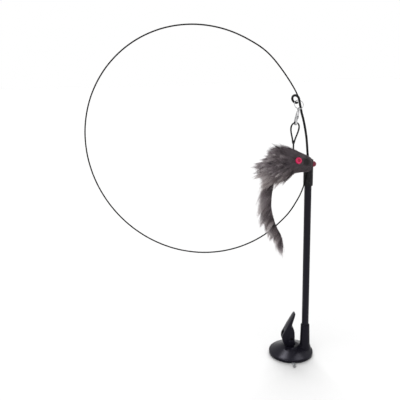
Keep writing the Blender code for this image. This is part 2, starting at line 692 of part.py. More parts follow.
def ring_frame():
    """Centre of the ring, which hangs by its top in the eyelet."""
    top = eyelet_frame()[0] + Vector(RING_IN_EYELET) * (EYELET_RADIUS - SHEATH_RADIUS)
    turn = Matrix.Rotation(RING_YAW, 4, "Z") @ Matrix.Rotation(-RING_TILT, 4, "X")
    return Matrix.Translation(top) @ turn @ Matrix.Translation((0, 0, -RING_RADIUS))


def ring_point(angle):
    return ring_frame() @ Vector((RING_RADIUS * math.cos(angle), 0, RING_RADIUS * math.sin(angle)))


def jump_ring(steel):
    start = RING_SPLIT_AT + RING_SPLIT / 2
    sweep = 2 * math.pi - RING_SPLIT
    steps = 30
    points = [ring_point(start + sweep * i / steps) for i in range(steps + 1)]
    print("jump ring: gap at its split %.2f mm" % ((points[0] - points[-1]).length / MM))
    return hang_on(finish(as_mesh(tube_along("jump_ring", PARTS, points, RING_WIRE)), steel), RING_SWING)


def swivel_eye(steel):
    """Eye on the ring, with a headed pin on which the clasp turns."""
    half = EYE_THICKNESS / 2
    eye = cylinder("swivel_eye", PARTS, EYE_OUTSIDE, -half, half, 20, CLASP_SWING, LYING)
    bore = cylinder("swivel_eye_bore", CUTTERS, EYE_BORE, -2 * half, 2 * half, 16, CLASP_SWING, LYING)
    top = -(EYE_BORE + EYE_OUTSIDE) / 2
    head = -WINDOW_TOP - FIT
    low = head - SWIVEL_HEAD_HEIGHT
    profile = [(0, top), (SWIVEL_PIN, top), (SWIVEL_PIN, head), (SWIVEL_HEAD, head), (SWIVEL_HEAD, low),
               (0, low)]
    pin = turned("swivel_pin", CUTTERS, profile, 12, False, CLASP_SWING)
    return finish(join(cut(eye, bore), pin), steel)


def claw_hole():
    """Inside of the claw, in the clasp's own XZ plane."""
    wide = CLASP_HALF_WIDTH - CLASP_WALL
    floor = arc((0, wide - CLAW_FLOOR), wide, math.pi, 2 * math.pi, 10)
    return floor + [(wide, -CLAW_ROOF - CLAW_SLOPE), (wide - CLAW_SLOPE, -CLAW_ROOF), (-wide, -CLAW_ROOF)]


def clasp_body(steel):
    """Leaf-shaped body: a collar on the swivel's pin, a slot for the gate and a claw for the cord."""
    wide = CLASP_HALF_WIDTH
    collar = COLLAR_HALF_WIDTH
    shoulder = [(collar, COLLAR_TOP + COLLAR_EDGE), (collar, WINDOW_TOP),
                (wide - CLASP_BELLY, CHEEK - CHEEK_HEIGHT), (wide, CHEEK + 2 * CHEEK_HEIGHT)]
    outline = [(collar - COLLAR_EDGE, -COLLAR_TOP), (COLLAR_EDGE - collar, -COLLAR_TOP)]
    outline += [(-x, -z) for x, z in shoulder]
    outline += arc((0, wide - CLASP_LENGTH), wide, math.pi, 2 * math.pi, 12)
    outline += [(x, -z) for x, z in reversed(shoulder)]
    body = flat_outline("clasp_body", PARTS, outline, CLASP_THICKNESS, CLASP_TURN)
    round_edges(body, CLASP_EDGE, 1)
    low = -WINDOW_TOP - OVERCUT
    swivel = cylinder("clasp_swivel_hole", CUTTERS, SWIVEL_PIN + FIT, low, 0, 12, CLASP_TURN)
    through = CLASP_THICKNESS
    at_pivot = Matrix.Translation(GATE_PIVOT) @ LYING
    rivet = cylinder("clasp_rivet_hole", CUTTERS, RIVET_HOLE, -through, through, 12, CLASP_TURN, at_pivot)
    return finish(cut(body, swivel, *clasp_openings(), rivet), steel)


def clasp_openings():
    """Cutters for the swivel's window, the claw, its mouth and the gate's slot."""
    through = 2 * CLASP_THICKNESS
    half = SWIVEL_HEAD + 1.5 * FIT
    outside = CLASP_HALF_WIDTH + OVERCUT
    inside = CLASP_HALF_WIDTH - CLASP_WALL - CLASP_BELLY / 2
    window = box_outline(-half, half, -WINDOW_TOP - WINDOW_HEIGHT, -WINDOW_TOP)
    mouth = box_outline(inside, outside, -GATE_TIP - FIT, -CHEEK - 2 * CHEEK_HEIGHT)
    slot_low = -CHEEK - GATE_SLOT - CHEEK_HEIGHT
    slot = box_outline(GATE_PIVOT.x - GATE_SLOT, outside, slot_low, -CHEEK + GATE_SLOT)
    return [
        flat_outline("clasp_window", CUTTERS, window, through, CLASP_TURN),
        flat_outline("clasp_hole", CUTTERS, claw_hole(), through, CLASP_TURN),
        flat_outline("clasp_mouth", CUTTERS, mouth, through, CLASP_TURN),
        flat_outline("clasp_slot", CUTTERS, slot, GATE_THICKNESS + 2 * RIVET_FIT, CLASP_TURN),
    ]


def clasp_gate(steel):
    """Sprung gate, drawn about its rivet."""
    outer = CLASP_HALF_WIDTH - GATE_PIVOT.x
    inner = outer - GATE_WIDTH
    tip = -GATE_TIP - GATE_PIVOT.z
    lug = outer + GATE_THUMB
    outline = arc((0, 0), GATE_EAR, math.radians(60), math.radians(200), 6)
    outline += [(inner - FIT, -1.6 * GATE_EAR), (inner, tip), (outer, tip), (outer, -2.2 * GATE_EAR),
                (lug, -1.5 * GATE_EAR), (lug - FIT, -0.8 * GATE_EAR), (outer - FIT, 0.2 * GATE_EAR)]
    gate = flat_outline("clasp_gate", PARTS, outline, GATE_THICKNESS, GATE_TURN)
    through = GATE_THICKNESS
    hole = cylinder("gate_rivet_hole", CUTTERS, RIVET_HOLE, -through, through, 12, GATE_TURN, LYING)
    return finish(cut(gate, hole), steel)


def clasp_rivet(steel):
    half = CLASP_THICKNESS / 2
    at_pivot = Matrix.Translation(GATE_PIVOT) @ LYING
    rivet = cylinder("clasp_rivet", PARTS, RIVET_RADIUS, -half, half, 12, CLASP_TURN, at_pivot)
    return finish(rivet, steel)


def cord_top():
    """Centre of the cord where it lies in the claw."""
    return CLASP_FRAME @ Vector((0, 0, CORD_HANG + CORD_RADIUS - CLAW_FLOOR))


def knot_place():
    return cord_top() + Vector((-CORD_LEAN, 0, -CORD_LENGTH))


def from_cord(place):
    """A place on the mouse, given from where the cord enters its back."""
    return knot_place() + Vector((0, 0, -CORD_STEM)) + place


def cord_loop(elastic):
    """One knotted loop, square to the claw: over its floor, down to a knot and into the mouse's back."""
    top = cord_top()
    knot = knot_place()
    to_side = Vector((math.cos(RING_YAW), math.sin(RING_YAW), 0))
    to_knot = Vector((-CORD_LEAN, 0, -CORD_LENGTH))
    steps = 18
    points = []
    for i in range(-steps, steps + 1):
        angle = math.pi * i / steps
        down = (1 - math.cos(angle)) / 2
        drop_shape = math.sin(angle) * math.cos(angle / 2) ** 2 / DROP_WIDEST
        across = CORD_HALF_WIDTH * drop_shape + math.copysign(LEG_SPACING / 2, angle) * down
        points.append(top + to_side * across + to_knot * down)
    loop = as_mesh(tube_along("cord_loop", PARTS, points, CORD_RADIUS))
    end = from_cord(Vector((0, 0, -CORD_SEAT)))
    stem = as_mesh(tube_along("cord_stem", CUTTERS, [knot, knot.lerp(end, 0.5), end], CORD_RADIUS))
    knot_ball = sphere("cord_knot", CUTTERS, knot, Vector((1, 1, 1.2)) * KNOT_RADIUS, 12, 8)
    seat = as_mesh(tube_along("cord_seat", CUTTERS, [knot, knot.lerp(end, 0.5), end + Vector((0, 0, -FIT))],
                              CORD_RADIUS + FIT))
    return hang_on(finish(join(loop, stem, knot_ball), elastic), TOY_SWING), seat


# Mouse

SIDES = [("left", 1), ("right", -1)]


def mouse_body(fur, cord_seat, eye_sockets):
    body = sphere("mouse_body", PARTS, from_cord(BODY_CENTRE), BODY_SIZE, 24, 16)
    return hang_on(finish(cut(body, cord_seat, *eye_sockets), fur), TOY_SWING)


def mouse_head(fur, grown_body, cord_seat, eye_sockets):
    """Blunt cone, turned about the line from the nose, thinner across than it is high."""
    rows = [(radius * HEAD_RADIUS, -depth * HEAD_LENGTH) for radius, depth in HEAD_PROFILE]
    rows.append((0, -HEAD_LENGTH))
    lying_back = Matrix.Rotation(math.pi / 2, 4, "Y")
    head = turned("mouse_head", PARTS, rows, 24, False, None, head_frame() @ lying_back)
    tip = sphere("socket_nose", CUTTERS, nose_place(), Vector((NOSE_RADIUS + FIT,) * 3), 16, 10)
    return hang_on(finish(cut(head, grown_body, cord_seat, tip, *eye_sockets), fur), TOY_SWING)


def head_frame():
    """The head's own frame: its nose at the origin and its length along -X."""
    turn = Matrix.Rotation(HEAD_TILT, 4, "Y") @ Matrix.Diagonal((1, HEAD_FLAT, 1, 1))
    return Matrix.Translation(from_cord(NOSE_TIP)) @ turn


def head_radius(depth):
    share = depth / HEAD_LENGTH
    for (inner, near), (outer, far) in zip(HEAD_PROFILE, HEAD_PROFILE[1:]):
        if share <= far:
            return HEAD_RADIUS * (inner + (outer - inner) * (share - near) / (far - near))
    return HEAD_RADIUS


def eye_place(sign):
    """Centre of an eye, a little under the head's surface."""
    radius = head_radius(EYE_DEPTH) - EYE_SINK
    sideways = sign * radius * math.cos(EYE_ANGLE)
    return head_frame() @ Vector((-EYE_DEPTH, sideways, radius * math.sin(EYE_ANGLE)))


def eye_socket(side, sign):
    return sphere("socket_" + side, CUTTERS, eye_place(sign), Vector((EYE_RADIUS + FIT,) * 3), 16, 10)


def nose_place():
    return from_cord(NOSE_TIP)


def mouse_tail(fur, grown_body):
    root = from_cord(BODY_CENTRE + BODY_SIZE * Vector(TAIL_ROOT))
    route = smooth_route([root + Vector((x, 0, z)) * MM for x, z in TAIL], TAIL_STEP)
    last = len(route) - 1
    slim = TAIL_TIP_RADIUS / TAIL_ROOT_RADIUS
    radii = [1.0 + (slim - 1.0) * (i / last) ** 1.3 for i in range(last + 1)]
    tail = as_mesh(tube_along("mouse_tail", PARTS, route, TAIL_ROOT_RADIUS, radii))
    return hang_on(finish(cut(tail, grown_body), fur), TOY_SWING)


def mouse_beads(red):
    for side, sign in SIDES:
        eye = sphere("eye_" + side, PARTS, eye_place(sign), Vector((EYE_RADIUS,) * 3), 16, 10)
        hang_on(finish(eye, red), TOY_SWING)
    nose = sphere("nose", PARTS, nose_place(), Vector((NOSE_RADIUS,) * 3), 16, 10)
    hang_on(finish(nose, red), TOY_SWING)


# Assembly

clear_scene()
PARTS = new_collection("suction_cup_cat_teaser")
CUTTERS = new_collection("cutters")

STEM_LIFT = empty("stem_lift", Matrix.Identity(4))
LEVER_TURN = empty("lever_turn", Matrix.Translation((0, 0, PIN_Z)), STEM_LIFT)
TUBE_TURN = empty("tube_turn", Matrix.Translation((TUBE_X, 0, 0)))
RING_SWING = empty("ring_swing", Matrix.Translation(ring_point(math.pi / 2)))
CLASP_DROP = EYE_BORE - RING_WIRE - FIT
CLASP_FRAME = (Matrix.Translation(ring_point(RING_HANG_AT) - Vector((0, 0, CLASP_DROP)))
               @ Matrix.Rotation(CLASP_LEAN, 4, "Y") @ Matrix.Rotation(CLASP_YAW, 4, "Z"))
CLASP_SWING = empty("clasp_swing", CLASP_FRAME)
CLASP_TURN = empty("clasp_turn", Matrix.Identity(4), CLASP_SWING)
GATE_TURN = empty("gate_turn", Matrix.Translation(GATE_PIVOT), CLASP_TURN)
TOY_SWING = empty("toy_swing", Matrix.Translation(cord_top()))

clear_rubber = material("clear_rubber", (0.78, 0.79, 0.80), 0.25, 0.0, 0.6)
black_plastic = material("black_plastic", (0.012, 0.011, 0.014), 0.18)
black_rubber = material("black_rubber", (0.015, 0.015, 0.016), 0.6)
dark_steel = material("dark_steel", (0.09, 0.09, 0.10), 0.35, 1.0)
bright_steel = material("bright_steel", (0.72, 0.72, 0.73), 0.2, 1.0)
black_elastic = material("black_elastic", (0.014, 0.014, 0.015), 0.85)
grey_fur = material("grey_fur", (0.055, 0.05, 0.053), 0.95)
red_bead = material("red_bead", (0.42, 0.02, 0.06), 0.2)

suction_pad(clear_rubber)
pad_stem(black_plastic)
lever_pin(dark_steel)
base_cover(black_plastic)
lock_lever(black_plastic)
support_tube(black_plastic)
tube_sleeve(black_rubber)
wire_plug(black_rubber)
spring_wire(dark_steel)
end_sheath(black_rubber)
jump_ring(bright_steel)
swivel_eye(bright_steel)
clasp_body(bright_steel)
clasp_gate(bright_steel)
clasp_rivet(bright_steel)
cord, seat_in_mouse = cord_loop(black_elastic)
sockets = [eye_socket(side, sign) for side, sign in SIDES]
body_room = sphere("body_room", CUTTERS, from_cord(BODY_CENTRE), BODY_SIZE + Vector((FIT,) * 3), 24, 16)
mouse_body(grey_fur, seat_in_mouse, sockets)
mouse_head(grey_fur, body_room, seat_in_mouse, sockets)
mouse_tail(grey_fur, body_room)
mouse_beads(red_bead)
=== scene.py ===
"""Looks of the suction cup cat teaser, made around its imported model. Metres, +Z up."""

import math
from collections import namedtuple

import bmesh
import bpy
import numpy as np
from mathutils import Matrix, Vector, noise


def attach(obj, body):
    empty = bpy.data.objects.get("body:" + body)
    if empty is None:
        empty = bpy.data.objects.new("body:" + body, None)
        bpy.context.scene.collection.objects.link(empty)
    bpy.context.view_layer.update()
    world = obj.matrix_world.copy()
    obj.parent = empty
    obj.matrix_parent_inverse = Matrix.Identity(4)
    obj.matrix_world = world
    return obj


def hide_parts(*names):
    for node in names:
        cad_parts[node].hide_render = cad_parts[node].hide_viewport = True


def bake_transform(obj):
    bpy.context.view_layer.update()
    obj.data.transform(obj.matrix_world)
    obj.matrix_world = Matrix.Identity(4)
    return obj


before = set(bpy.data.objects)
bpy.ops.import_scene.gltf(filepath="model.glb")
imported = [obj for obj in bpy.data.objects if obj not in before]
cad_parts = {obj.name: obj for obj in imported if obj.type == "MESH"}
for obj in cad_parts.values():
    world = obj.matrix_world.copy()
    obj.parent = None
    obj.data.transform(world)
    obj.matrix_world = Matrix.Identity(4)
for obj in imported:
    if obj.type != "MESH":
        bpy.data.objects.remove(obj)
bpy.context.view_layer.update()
MM = 0.001

# Camera
CAMERA_PLACE = (-0.113189, -0.67677, 0.389632)
CAMERA_PITCH = math.radians(75.199)
CAMERA_ROLL = math.radians(-1.645)
CAMERA_LENS = 51.39
CAMERA_SHIFT = 0.00125

# Floor and light. A sun has the way to it, strength, width in degrees and whether it lights only the floor.
# A softbox has place, size and power, and lights only the mouldings.
FLOOR_HALF = 6.0
AMBIENT = 0.8
SUNS = [
    ("sun_front", (-0.45, -0.6, 0.66), 0.8, 60, False),
    ("sun_low", (0.15, 0.84, 0.52), 4.5, 52, True),
]
SOFTBOXES = [
    ("softbox_left", (-0.27, 0.42, 1.35), (0.12, 0.4), 7.0),
    ("softbox_right", (0.40, 0.36, 1.3), (0.07, 0.4), 2.6),
]
SOFTBOX_AIM = Vector((0, 0, 0.12))
MOULDINGS = ("base_cover", "lock_lever", "support_tube")

# Finishes
COVER_EDGE = 0.2 * MM
SLEEVE_THREADS = 14.0
CORD_THREADS = 4.0

# Tubes and turned shapes. A tube's end narrows to a share of its radius and bulges by another share of it.
CAP_NARROW = 0.6
CAP_BULGE = 0.45
FIRST_SIDE = (0.3, 0.9, 0.2)
LEAST_RADIUS = 0.002
CURVE_PIECES = 12

# Suction pad: radius and height in mm, from the stem's pocket over the hub to the edge. The grooves are rings
# in its underside.
PAD_ROWS = [(0, 3.2), (9.5, 3.2), (9.5, 5.8), (5.9, 5.8), (5.9, 6.7), (10.9, 6.7), (11.3, 6.45), (12.3, 4.3),
            (12.8, 3.95), (26.2, 2.25), (26.9, 1.9), (27.2, 1.35), (27.2, 0.35), (26.9, 0.0)]
PAD_SIDES = 128
GROOVES = (24.5, 22.5, 20.5)
GROOVE_HALF = 0.3
GROOVE_DEPTH = 0.25

# Pull tab: distance from the pad's axis, underside and top in mm. Its section is a rounded box.
TAB_ROWS = [(24.4, 0.25, 0.9), (27.6, 0.3, 1.15), (31.0, 0.3, 1.1), (34.2, 0.3, 1.15), (35.4, 0.25, 1.9),
            (36.0, 0.2, 2.45), (36.7, 0.2, 2.55), (37.3, 0.4, 2.2), (37.6, 0.9, 1.7)]
TAB_ANGLE = math.radians(-91.5)
TAB_WIDTH = 3.4
TAB_SIDES = 20
TAB_BOX_ACROSS = 0.35
TAB_BOX_UPWARD = 0.5
TAB_BEAD_FROM = 34.6 * MM

# Upright tube, and a spring wire a little thicker than the model's. Places are in mm from the tube's top end.
TUBE_X = 18.3 * MM
TUBE_END = Vector((TUBE_X, 0, 255.0 * MM))
SLEEVE_RADIUS = 5.8 * MM
WIRE_RADIUS = 0.82 * MM
WIRE_SEAT = 20.0 * MM
WIRE_STEP = 3.0 * MM
WIRE_SIDES = 16
LOOP_RADIUS = 133.4 * MM
LOOP_OVERLAP = 1.5 * MM
LOOP_CENTRE_Z = 27.3 * MM
LOOP_GROWTH = 2.75 * MM
LOOP_OVAL = 3.65 * MM
LOOP_OVAL_ANGLE = math.radians(-53.8)
LOOP_PITCH = 8.3 * MM
LOOP_FROM = 48
LOOP_TO = 318
LOOP_STEP = 15
RISE = [(-0.5, 0, 9), (-2.4, 0, 24), (-4.4, 0, 38), (-7.6, -0.2, 54), (-16.4, -0.5, 84)]
APPROACH = [(-13.9, -7.7, -44.4), (-6.8, -8.3, -27.3), (-3.8, -9.6, -12.0), (-3.3, -11.0, -1.0)]

# Sheath over the wire's end, and its eyelet
SHANK = [(-3.4, -12.2, 8.0), (-5.3, -15.0, 26.8), (-7.3, -17.0, 39.2), (-10.4, -19.0, 53.0),
         (-13.3, -20.5, 62.8)]
SHEATH_RADIUS = 1.35 * MM
SHEATH_SEAT = 6.0 * MM
SHEATH_STEP = 1.5 * MM
SHEATH_SIDES = 20
EYELET_SIDE = (-16.6, -22.8, 77.5)
EYELET_RADIUS = 4.4 * MM
EYELET_SWEEP = math.radians(288.0)
EYELET_YAW = math.radians(40.0)
EYELET_STEPS = 40

# Jump ring, which hangs by its top in the eyelet
RING_RADIUS = 5.4 * MM
RING_WIRE = 0.45 * MM
RING_STEPS = 96
RING_SIDES = 16
RING_IN_EYELET = (0.935, 0.151, -0.412)
RING_TILT = math.radians(28.0)
RING_YAW = math.radians(13.0)
RING_SPLIT = math.radians(7.0)
RING_SPLIT_AT = math.radians(20.0)

# Elastic cord from the mouse's back to the clasp's claw. Its loop is drop-shaped, and it thins on the claw.
CORD_TOP = Vector((-2.123, -24.619, 306.044)) * MM
CORD_RADIUS = 0.95 * MM
CORD_PINCH = 0.16
PINCH_LENGTH = 4.0 * MM
CORD_STEP = 0.8 * MM
CORD_SIDES = 16
CORD_HALF_WIDTH = 4.65 * MM
CORD_TO_KNOT = Vector((-2.1, 0, -22.2)) * MM
CORD_STEM = 10.5 * MM
CORD_SEAT = 4.0 * MM
STEM_SHARE = 0.72
STEM_POINTS = 7
LEG_SPACING = 2.2 * MM
DROP_WIDEST = 3 * math.sqrt(3) / 8
DROP_SWEEP = 0.97 * math.pi
DROP_STEPS = 30
KNOT = CORD_TOP + CORD_TO_KNOT
CORD_ENTRY = KNOT - Vector((0, 0, CORD_STEM))

# Knot: a few wraps of a thinner strand, narrower at both ends
KNOT_WRAPS = 3
KNOT_STEPS = 60
KNOT_RADIUS = 1.25 * MM
KNOT_TAPER = 0.4 * MM
KNOT_HALF = 1.75 * MM
KNOT_STRAND = 0.55 * MM
KNOT_SIDES = 12

# Fur mouse. Places are in mm from where the cord enters its back. Lumps have a height and a scale.
BODY_CENTRE = CORD_ENTRY + Vector((-11.6, 0, -16.4)) * MM
BODY_SIZE = Vector((17.5, 12.0, 14.0)) * MM
BODY_LUMPS = (0.5 * MM, 160.0)

# Head: shares of its radius and of its length behind the nose. The chin is fuller round one depth.
NOSE_TIP = CORD_ENTRY + Vector((23.6, 0, -16.0)) * MM
HEAD_PROFILE = [(0.0, 0.028), (0.2, 0.03), (0.29, 0.042), (0.36, 0.065), (0.44, 0.1), (0.52, 0.14),
                (0.585, 0.19), (0.68, 0.26), (0.85, 0.5), (0.97, 0.78), (1.0, 1.0)]
HEAD_LENGTH = 29.0 * MM
HEAD_RADIUS = 12.7 * MM
HEAD_FLAT = 0.86
HEAD_TILT = math.radians(7.0)
HEAD_SIDES = 64
HEAD_BULGE = 1.0 * MM
HEAD_LUMPS = (0.25 * MM, 220.0)
CHIN = 0.36
CHIN_DEPTH = 2.5 * MM
CHIN_SPREAD = 5.0 * MM

# Eyes and nose: radius and height of each bead, from its top down, before it is scaled to mm
EYE_ROWS = [(0.0, 2.75), (0.7, 2.66), (1.15, 2.42), (1.4, 2.2), (1.62, 2.35), (2.05, 2.78), (2.5, 2.62),
            (3.0, 1.95), (3.4, 1.1), (3.58, 0.0), (3.3, -1.3), (2.3, -2.6), (0.0, -3.4)]
EYE_SCALE = 1.16 * MM
EYE_SINK = 1.9 * MM
EYE_DEPTH = 19.6 * MM
EYE_ANGLE = math.radians(21.0)
EYE_FORWARD = 0.10
NOSE_ROWS = [(0.0, 2.1), (0.35, 2.15), (0.6, 2.38), (1.2, 2.25), (1.95, 1.65), (2.5, 0.7), (2.62, -0.3),
             (2.3, -1.5), (1.4, -2.3), (0.0, -2.6)]
NOSE_SCALE = 1.3 * MM
BEAD_PIECES = 6
BEAD_SIDES = 40

# Tail, in mm from its root. It keeps its width nearly to the tip.
TAIL_ROOT = BODY_CENTRE + BODY_SIZE * Vector((-0.571, 0.0, -0.786))
TAIL = [(0, 0), (-2.2, -7.0), (-4.2, -15.0), (-6.2, -30.0), (-5.7, -43.2), (-1.2, -61.0), (6.0, -74.8),
        (7.9, -83.2)]
TAIL_RADIUS = 2.6 * MM
TAIL_TIP_RADIUS = 1.0 * MM
TAIL_TAPER = 6
TAIL_STEP = 2.0 * MM
TAIL_SIDES = 24
TAIL_LUMPS = (0.3 * MM, 260.0)

# Hair. A coat lists what each hair has. Hair is darker at its root, as painted shade between the hairs, and
# paler to its tip; a tuft shares a length and a tone.
Hair = namedtuple("Hair", "radius rows")
Coat = namedtuple("Coat", "roots ways lengths droop tone warm")
FUR_SEED = 11
SPARE = 4
HAIR_TAPER = 0.8
HAIR_WAVE = 0.05
# Share of a hair's tone at its root: painted shade between the hairs.
ROOT_SHADE_TONE = 0.42
TONE_RISE = 0.95
TIP_TONE = 1.45
TIP_PALER = 0.06
TUFT_LENGTHS = (0.76, 1.12)
TUFT_TONES = 0.17
TUFT_PULLS = (0.6, 1.2)
PULL_POWER = 1.3

# Body fur, in two layers: name, seed, shares of the way to the outline, tufts and how far tips draw together.
# The outline is the fur's from the side. Tips near a lock draw towards it.
BODY_HAIR = Hair(0.13 * MM, 4)
BODY_STRANDS = 8600
BODY_LAYERS = [
    ("mouse_body_underfur", FUR_SEED, (0.45, 0.85), 420, 0.45),
    ("mouse_body_fur", FUR_SEED + 3, (0.8, 1.06), 170, 0.85),
]
FUR_OUTLINE = [(2.0, 1.0), (-4.1, 3.4), (-11.9, 6.6), (-19.5, 8.0), (-30.0, 13.2), (-27.0, 4.4), (-28.6, 1.0),
               (-33.8, -9.0), (-48.8, -19.0), (-42.0, -24.0), (-48.2, -29.0), (-41.0, -36.0), (-43.0, -48.0),
               (-34.0, -41.5), (-23.8, -39.0), (-20.4, -37.6), (-13.7, -35.6), (-6.1, -29.8), (0.65, -26.0),
               (11.7, -26.4)]
FUR_LOCKS = [(-30.0, 13.2), (-29.0, 2.0), (-48.8, -19.0), (-48.2, -29.0), (-43.0, -48.0), (-33.0, -41.0)]
LOCK_SIZE = 7.0 * MM
LOCK_PULL = 0.6
LOCK_FLATTEN = 0.4
FLOW_FROM = CORD_ENTRY + Vector((30.0, 0, -6.0)) * MM
BODY_SINK = 0.99
UNDER_HEAD_DEPTH = 28.0 * MM
UNDER_HEAD_SHARE = 0.93
BACK_FROM = 2.0 * MM
BACK_LENGTH = 28.0 * MM
SHORTEST_HAIR = 2.5 * MM

# Head fur. The snout has a dark spot on each side, in mm from the nose in the head's frame.
HEAD_HAIR = Hair(0.12 * MM, 3)
HEAD_STRANDS = 12000
HEAD_FUR_SHARES = (0.05, 0.98)
HEAD_BACK_FROM = 0.45
SLOPE_STEP = 0.3 * MM
BODY_CLEAR = 1.02
EYE_BARE = 4.32 * MM
NOSE_BARE = 3.0 * MM
SNOUT_SPOT = (-9.0, -8.0, 2.8)
SPOT_SIZE = 4.4 * MM
SPOT_TONE = -0.05

# Tail fur. The hem is its left edge from top to tip, in mm from the tail's root. The brush is its end.
TAIL_HAIR = Hair(0.13 * MM, 5)
TAIL_STRANDS = 7000
TAIL_TUFTS = 100
TAIL_PULL = 0.5
TAIL_SINK = 0.97
TAIL_HEM = [(-9.0, -10.0), (-13.4, -18.6), (-18.0, -26.0), (-20.0, -34.0), (-20.5, -45.4), (-20.5, -58.7),
            (-17.0, -62.0), (-11.8, -69.0), (-7.9, -80.3), (-2.2, -87.0), (4.0, -94.7), (11.0, -106.0)]
TAIL_HANG = 0.9
TAIL_FLUFF = 1.5 * MM
BRUSH_FROM = 0.86
TOWARDS_FRONT = np.array([0.0, -1.0, 0.0])


# Node helpers

def new_material(name):
    made = bpy.data.materials.new(name)
    made.use_nodes = True
    return made, made.node_tree


def wire_up(tree, node, values):
    """Set a node's inputs. A socket is linked, and anything else is the input's own value."""
    for key, value in values.items():
        if isinstance(value, bpy.types.NodeSocket):
            tree.links.new(value, node.inputs[key])
        else:
            node.inputs[key].default_value = value


def add(tree, kind, values=None, **settings):
    made = tree.nodes.new("ShaderNode" + kind)
    for key, value in settings.items():
        setattr(made, key, value)
    wire_up(tree, made, values or {})
    return made


def colour(r, g, b):
    return (r, g, b, 1.0)


def here(tree):
    return add(tree, "TexCoord").outputs["Object"]


def stored(tree, name, output="Fac"):
    """A number or vector that a mesh holds at its points."""
    return add(tree, "Attribute", attribute_name=name).outputs[output]


def grain(tree, scale, detail=4.0, stretch=None):
    """Noise in the object's own metres."""
    where = here(tree)
    if stretch:
        where = add(tree, "Mapping", {"Vector": where, "Scale": stretch}).outputs["Vector"]
    return add(tree, "TexNoise", {"Vector": where, "Scale": scale, "Detail": detail}).outputs["Fac"]


def between(tree, value, low, high, start=0.3, end=0.7):
    """Low where the value is start or less, high where it is end or more."""
    limits = {"Value": value, "From Min": start, "From Max": end, "To Min": low, "To Max": high}
    return add(tree, "MapRange", limits).outputs["Result"]


def math_node(tree, operation, a, b=0.0):
    return add(tree, "Math", {0: a, 1: b}, operation=operation).outputs["Value"]


def ramp(tree, value, stops):
    made = add(tree, "ValToRGB", {"Fac": value})
    band = made.color_ramp
    while len(band.elements) < len(stops):
        band.elements.new(0.5)
    for element, (place, shade) in zip(band.elements, stops):
        element.position = place
        element.color = colour(*shade)
    return made.outputs["Color"]


def bump(tree, height, strength, distance, under=None):
    values = {"Height": height, "Strength": strength, "Distance": distance}
    if under:
        values["Normal"] = under
    return add(tree, "Bump", values).outputs["Normal"]


def worn_edges(tree):
    """1 on edges and 0 on flat places, broken up by noise."""
    soft = add(tree, "Bevel", {"Radius": 0.5 * MM}, samples=4).outputs["Normal"]
    flat = add(tree, "NewGeometry").outputs["Normal"]
    alike = add(tree, "VectorMath", {0: soft, 1: flat}, operation="DOT_PRODUCT").outputs["Value"]
    edge = between(tree, alike, 1.0, 0.0, 0.9, 0.995)
    return math_node(tree, "MULTIPLY", edge, between(tree, grain(tree, 900.0, 6.0), 0.0, 1.0, 0.4, 0.65))


def braid(tree, x, y, along, threads, radius):
    """Two sets of ribs that cross round a tube: 1 on a rib and less between ribs."""
    turn = math_node(tree, "MULTIPLY", math_node(tree, "ARCTAN2", y, x), threads)
    rise = math_node(tree, "MULTIPLY", along, threads / radius)
    right = math_node(tree, "SINE", math_node(tree, "ADD", turn, rise))
    left = math_node(tree, "SINE", math_node(tree, "SUBTRACT", turn, rise))
    return math_node(tree, "MAXIMUM", right, left)


# Materials

def surface(made, base, roughness, normal=None, gloss=0.5, more=None):
    """Set the inputs that every material has, and more where it has them."""
    values = {"Base Color": base, "Roughness": roughness, "Specular IOR Level": gloss, **(more or {})}
    if normal:
        values["Normal"] = normal
    wire_up(made.node_tree, made.node_tree.nodes["Principled BSDF"], values)
    return made


def moulded_black(name, shade, worn, rough):
    """Glossy moulded plastic: a faint orange peel, handling marks and edges rubbed a little paler."""
    made, tree = new_material(name)
    marks = between(tree, grain(tree, 60.0, 8.0), rough - 0.06, rough + 0.1)
    scratches = grain(tree, 240.0, 3.0, (1.0, 1.0, 0.06))
    roughness = math_node(tree, "ADD", marks, between(tree, scratches, 0.0, 0.08, 0.58, 0.7))
    base = ramp(tree, worn_edges(tree), [(0.0, shade), (1.0, worn)])
    peel = bump(tree, grain(tree, 700.0, 2.0), 0.2, 0.1 * MM)
    return surface(made, base, roughness, peel, 0.13, {"Specular Tint": colour(0.86, 0.84, 1.0)})


def braided_sleeve(name):
    """Black braided sleeve with paler threads here and there."""
    made, tree = new_material(name)
    where = add(tree, "SeparateXYZ", {0: here(tree)}).outputs
    out = math_node(tree, "SUBTRACT", where["X"], TUBE_X)
    weave = braid(tree, out, where["Y"], where["Z"], SLEEVE_THREADS, SLEEVE_RADIUS)
    patches = between(tree, grain(tree, 420.0, 3.0), 0.0, 1.0, 0.5, 0.66)
    pale = math_node(tree, "MULTIPLY", between(tree, weave, 0.0, 1.0, 0.5, 1.0), patches)
    base = ramp(tree, pale, [(0.0, (0.006, 0.0055, 0.007)), (1.0, (0.045, 0.043, 0.046))])
    ribs = bump(tree, weave, 0.8, 0.25 * MM)
    return surface(made, base, between(tree, weave, 0.75, 0.5, 0.2, 1.0), ribs, 0.2)


def black_rubber(name):
    """Matt rubber with a fine grain and a little dust."""
    made, tree = new_material(name)
    dust = grain(tree, 500.0, 8.0)
    base = ramp(tree, dust, [(0.35, (0.004, 0.004, 0.0045)), (0.75, (0.012, 0.0115, 0.0125))])
    fine = bump(tree, grain(tree, 2600.0, 4.0), 0.35, 0.08 * MM)
    return surface(made, base, between(tree, dust, 0.42, 0.62), fine, 0.16)


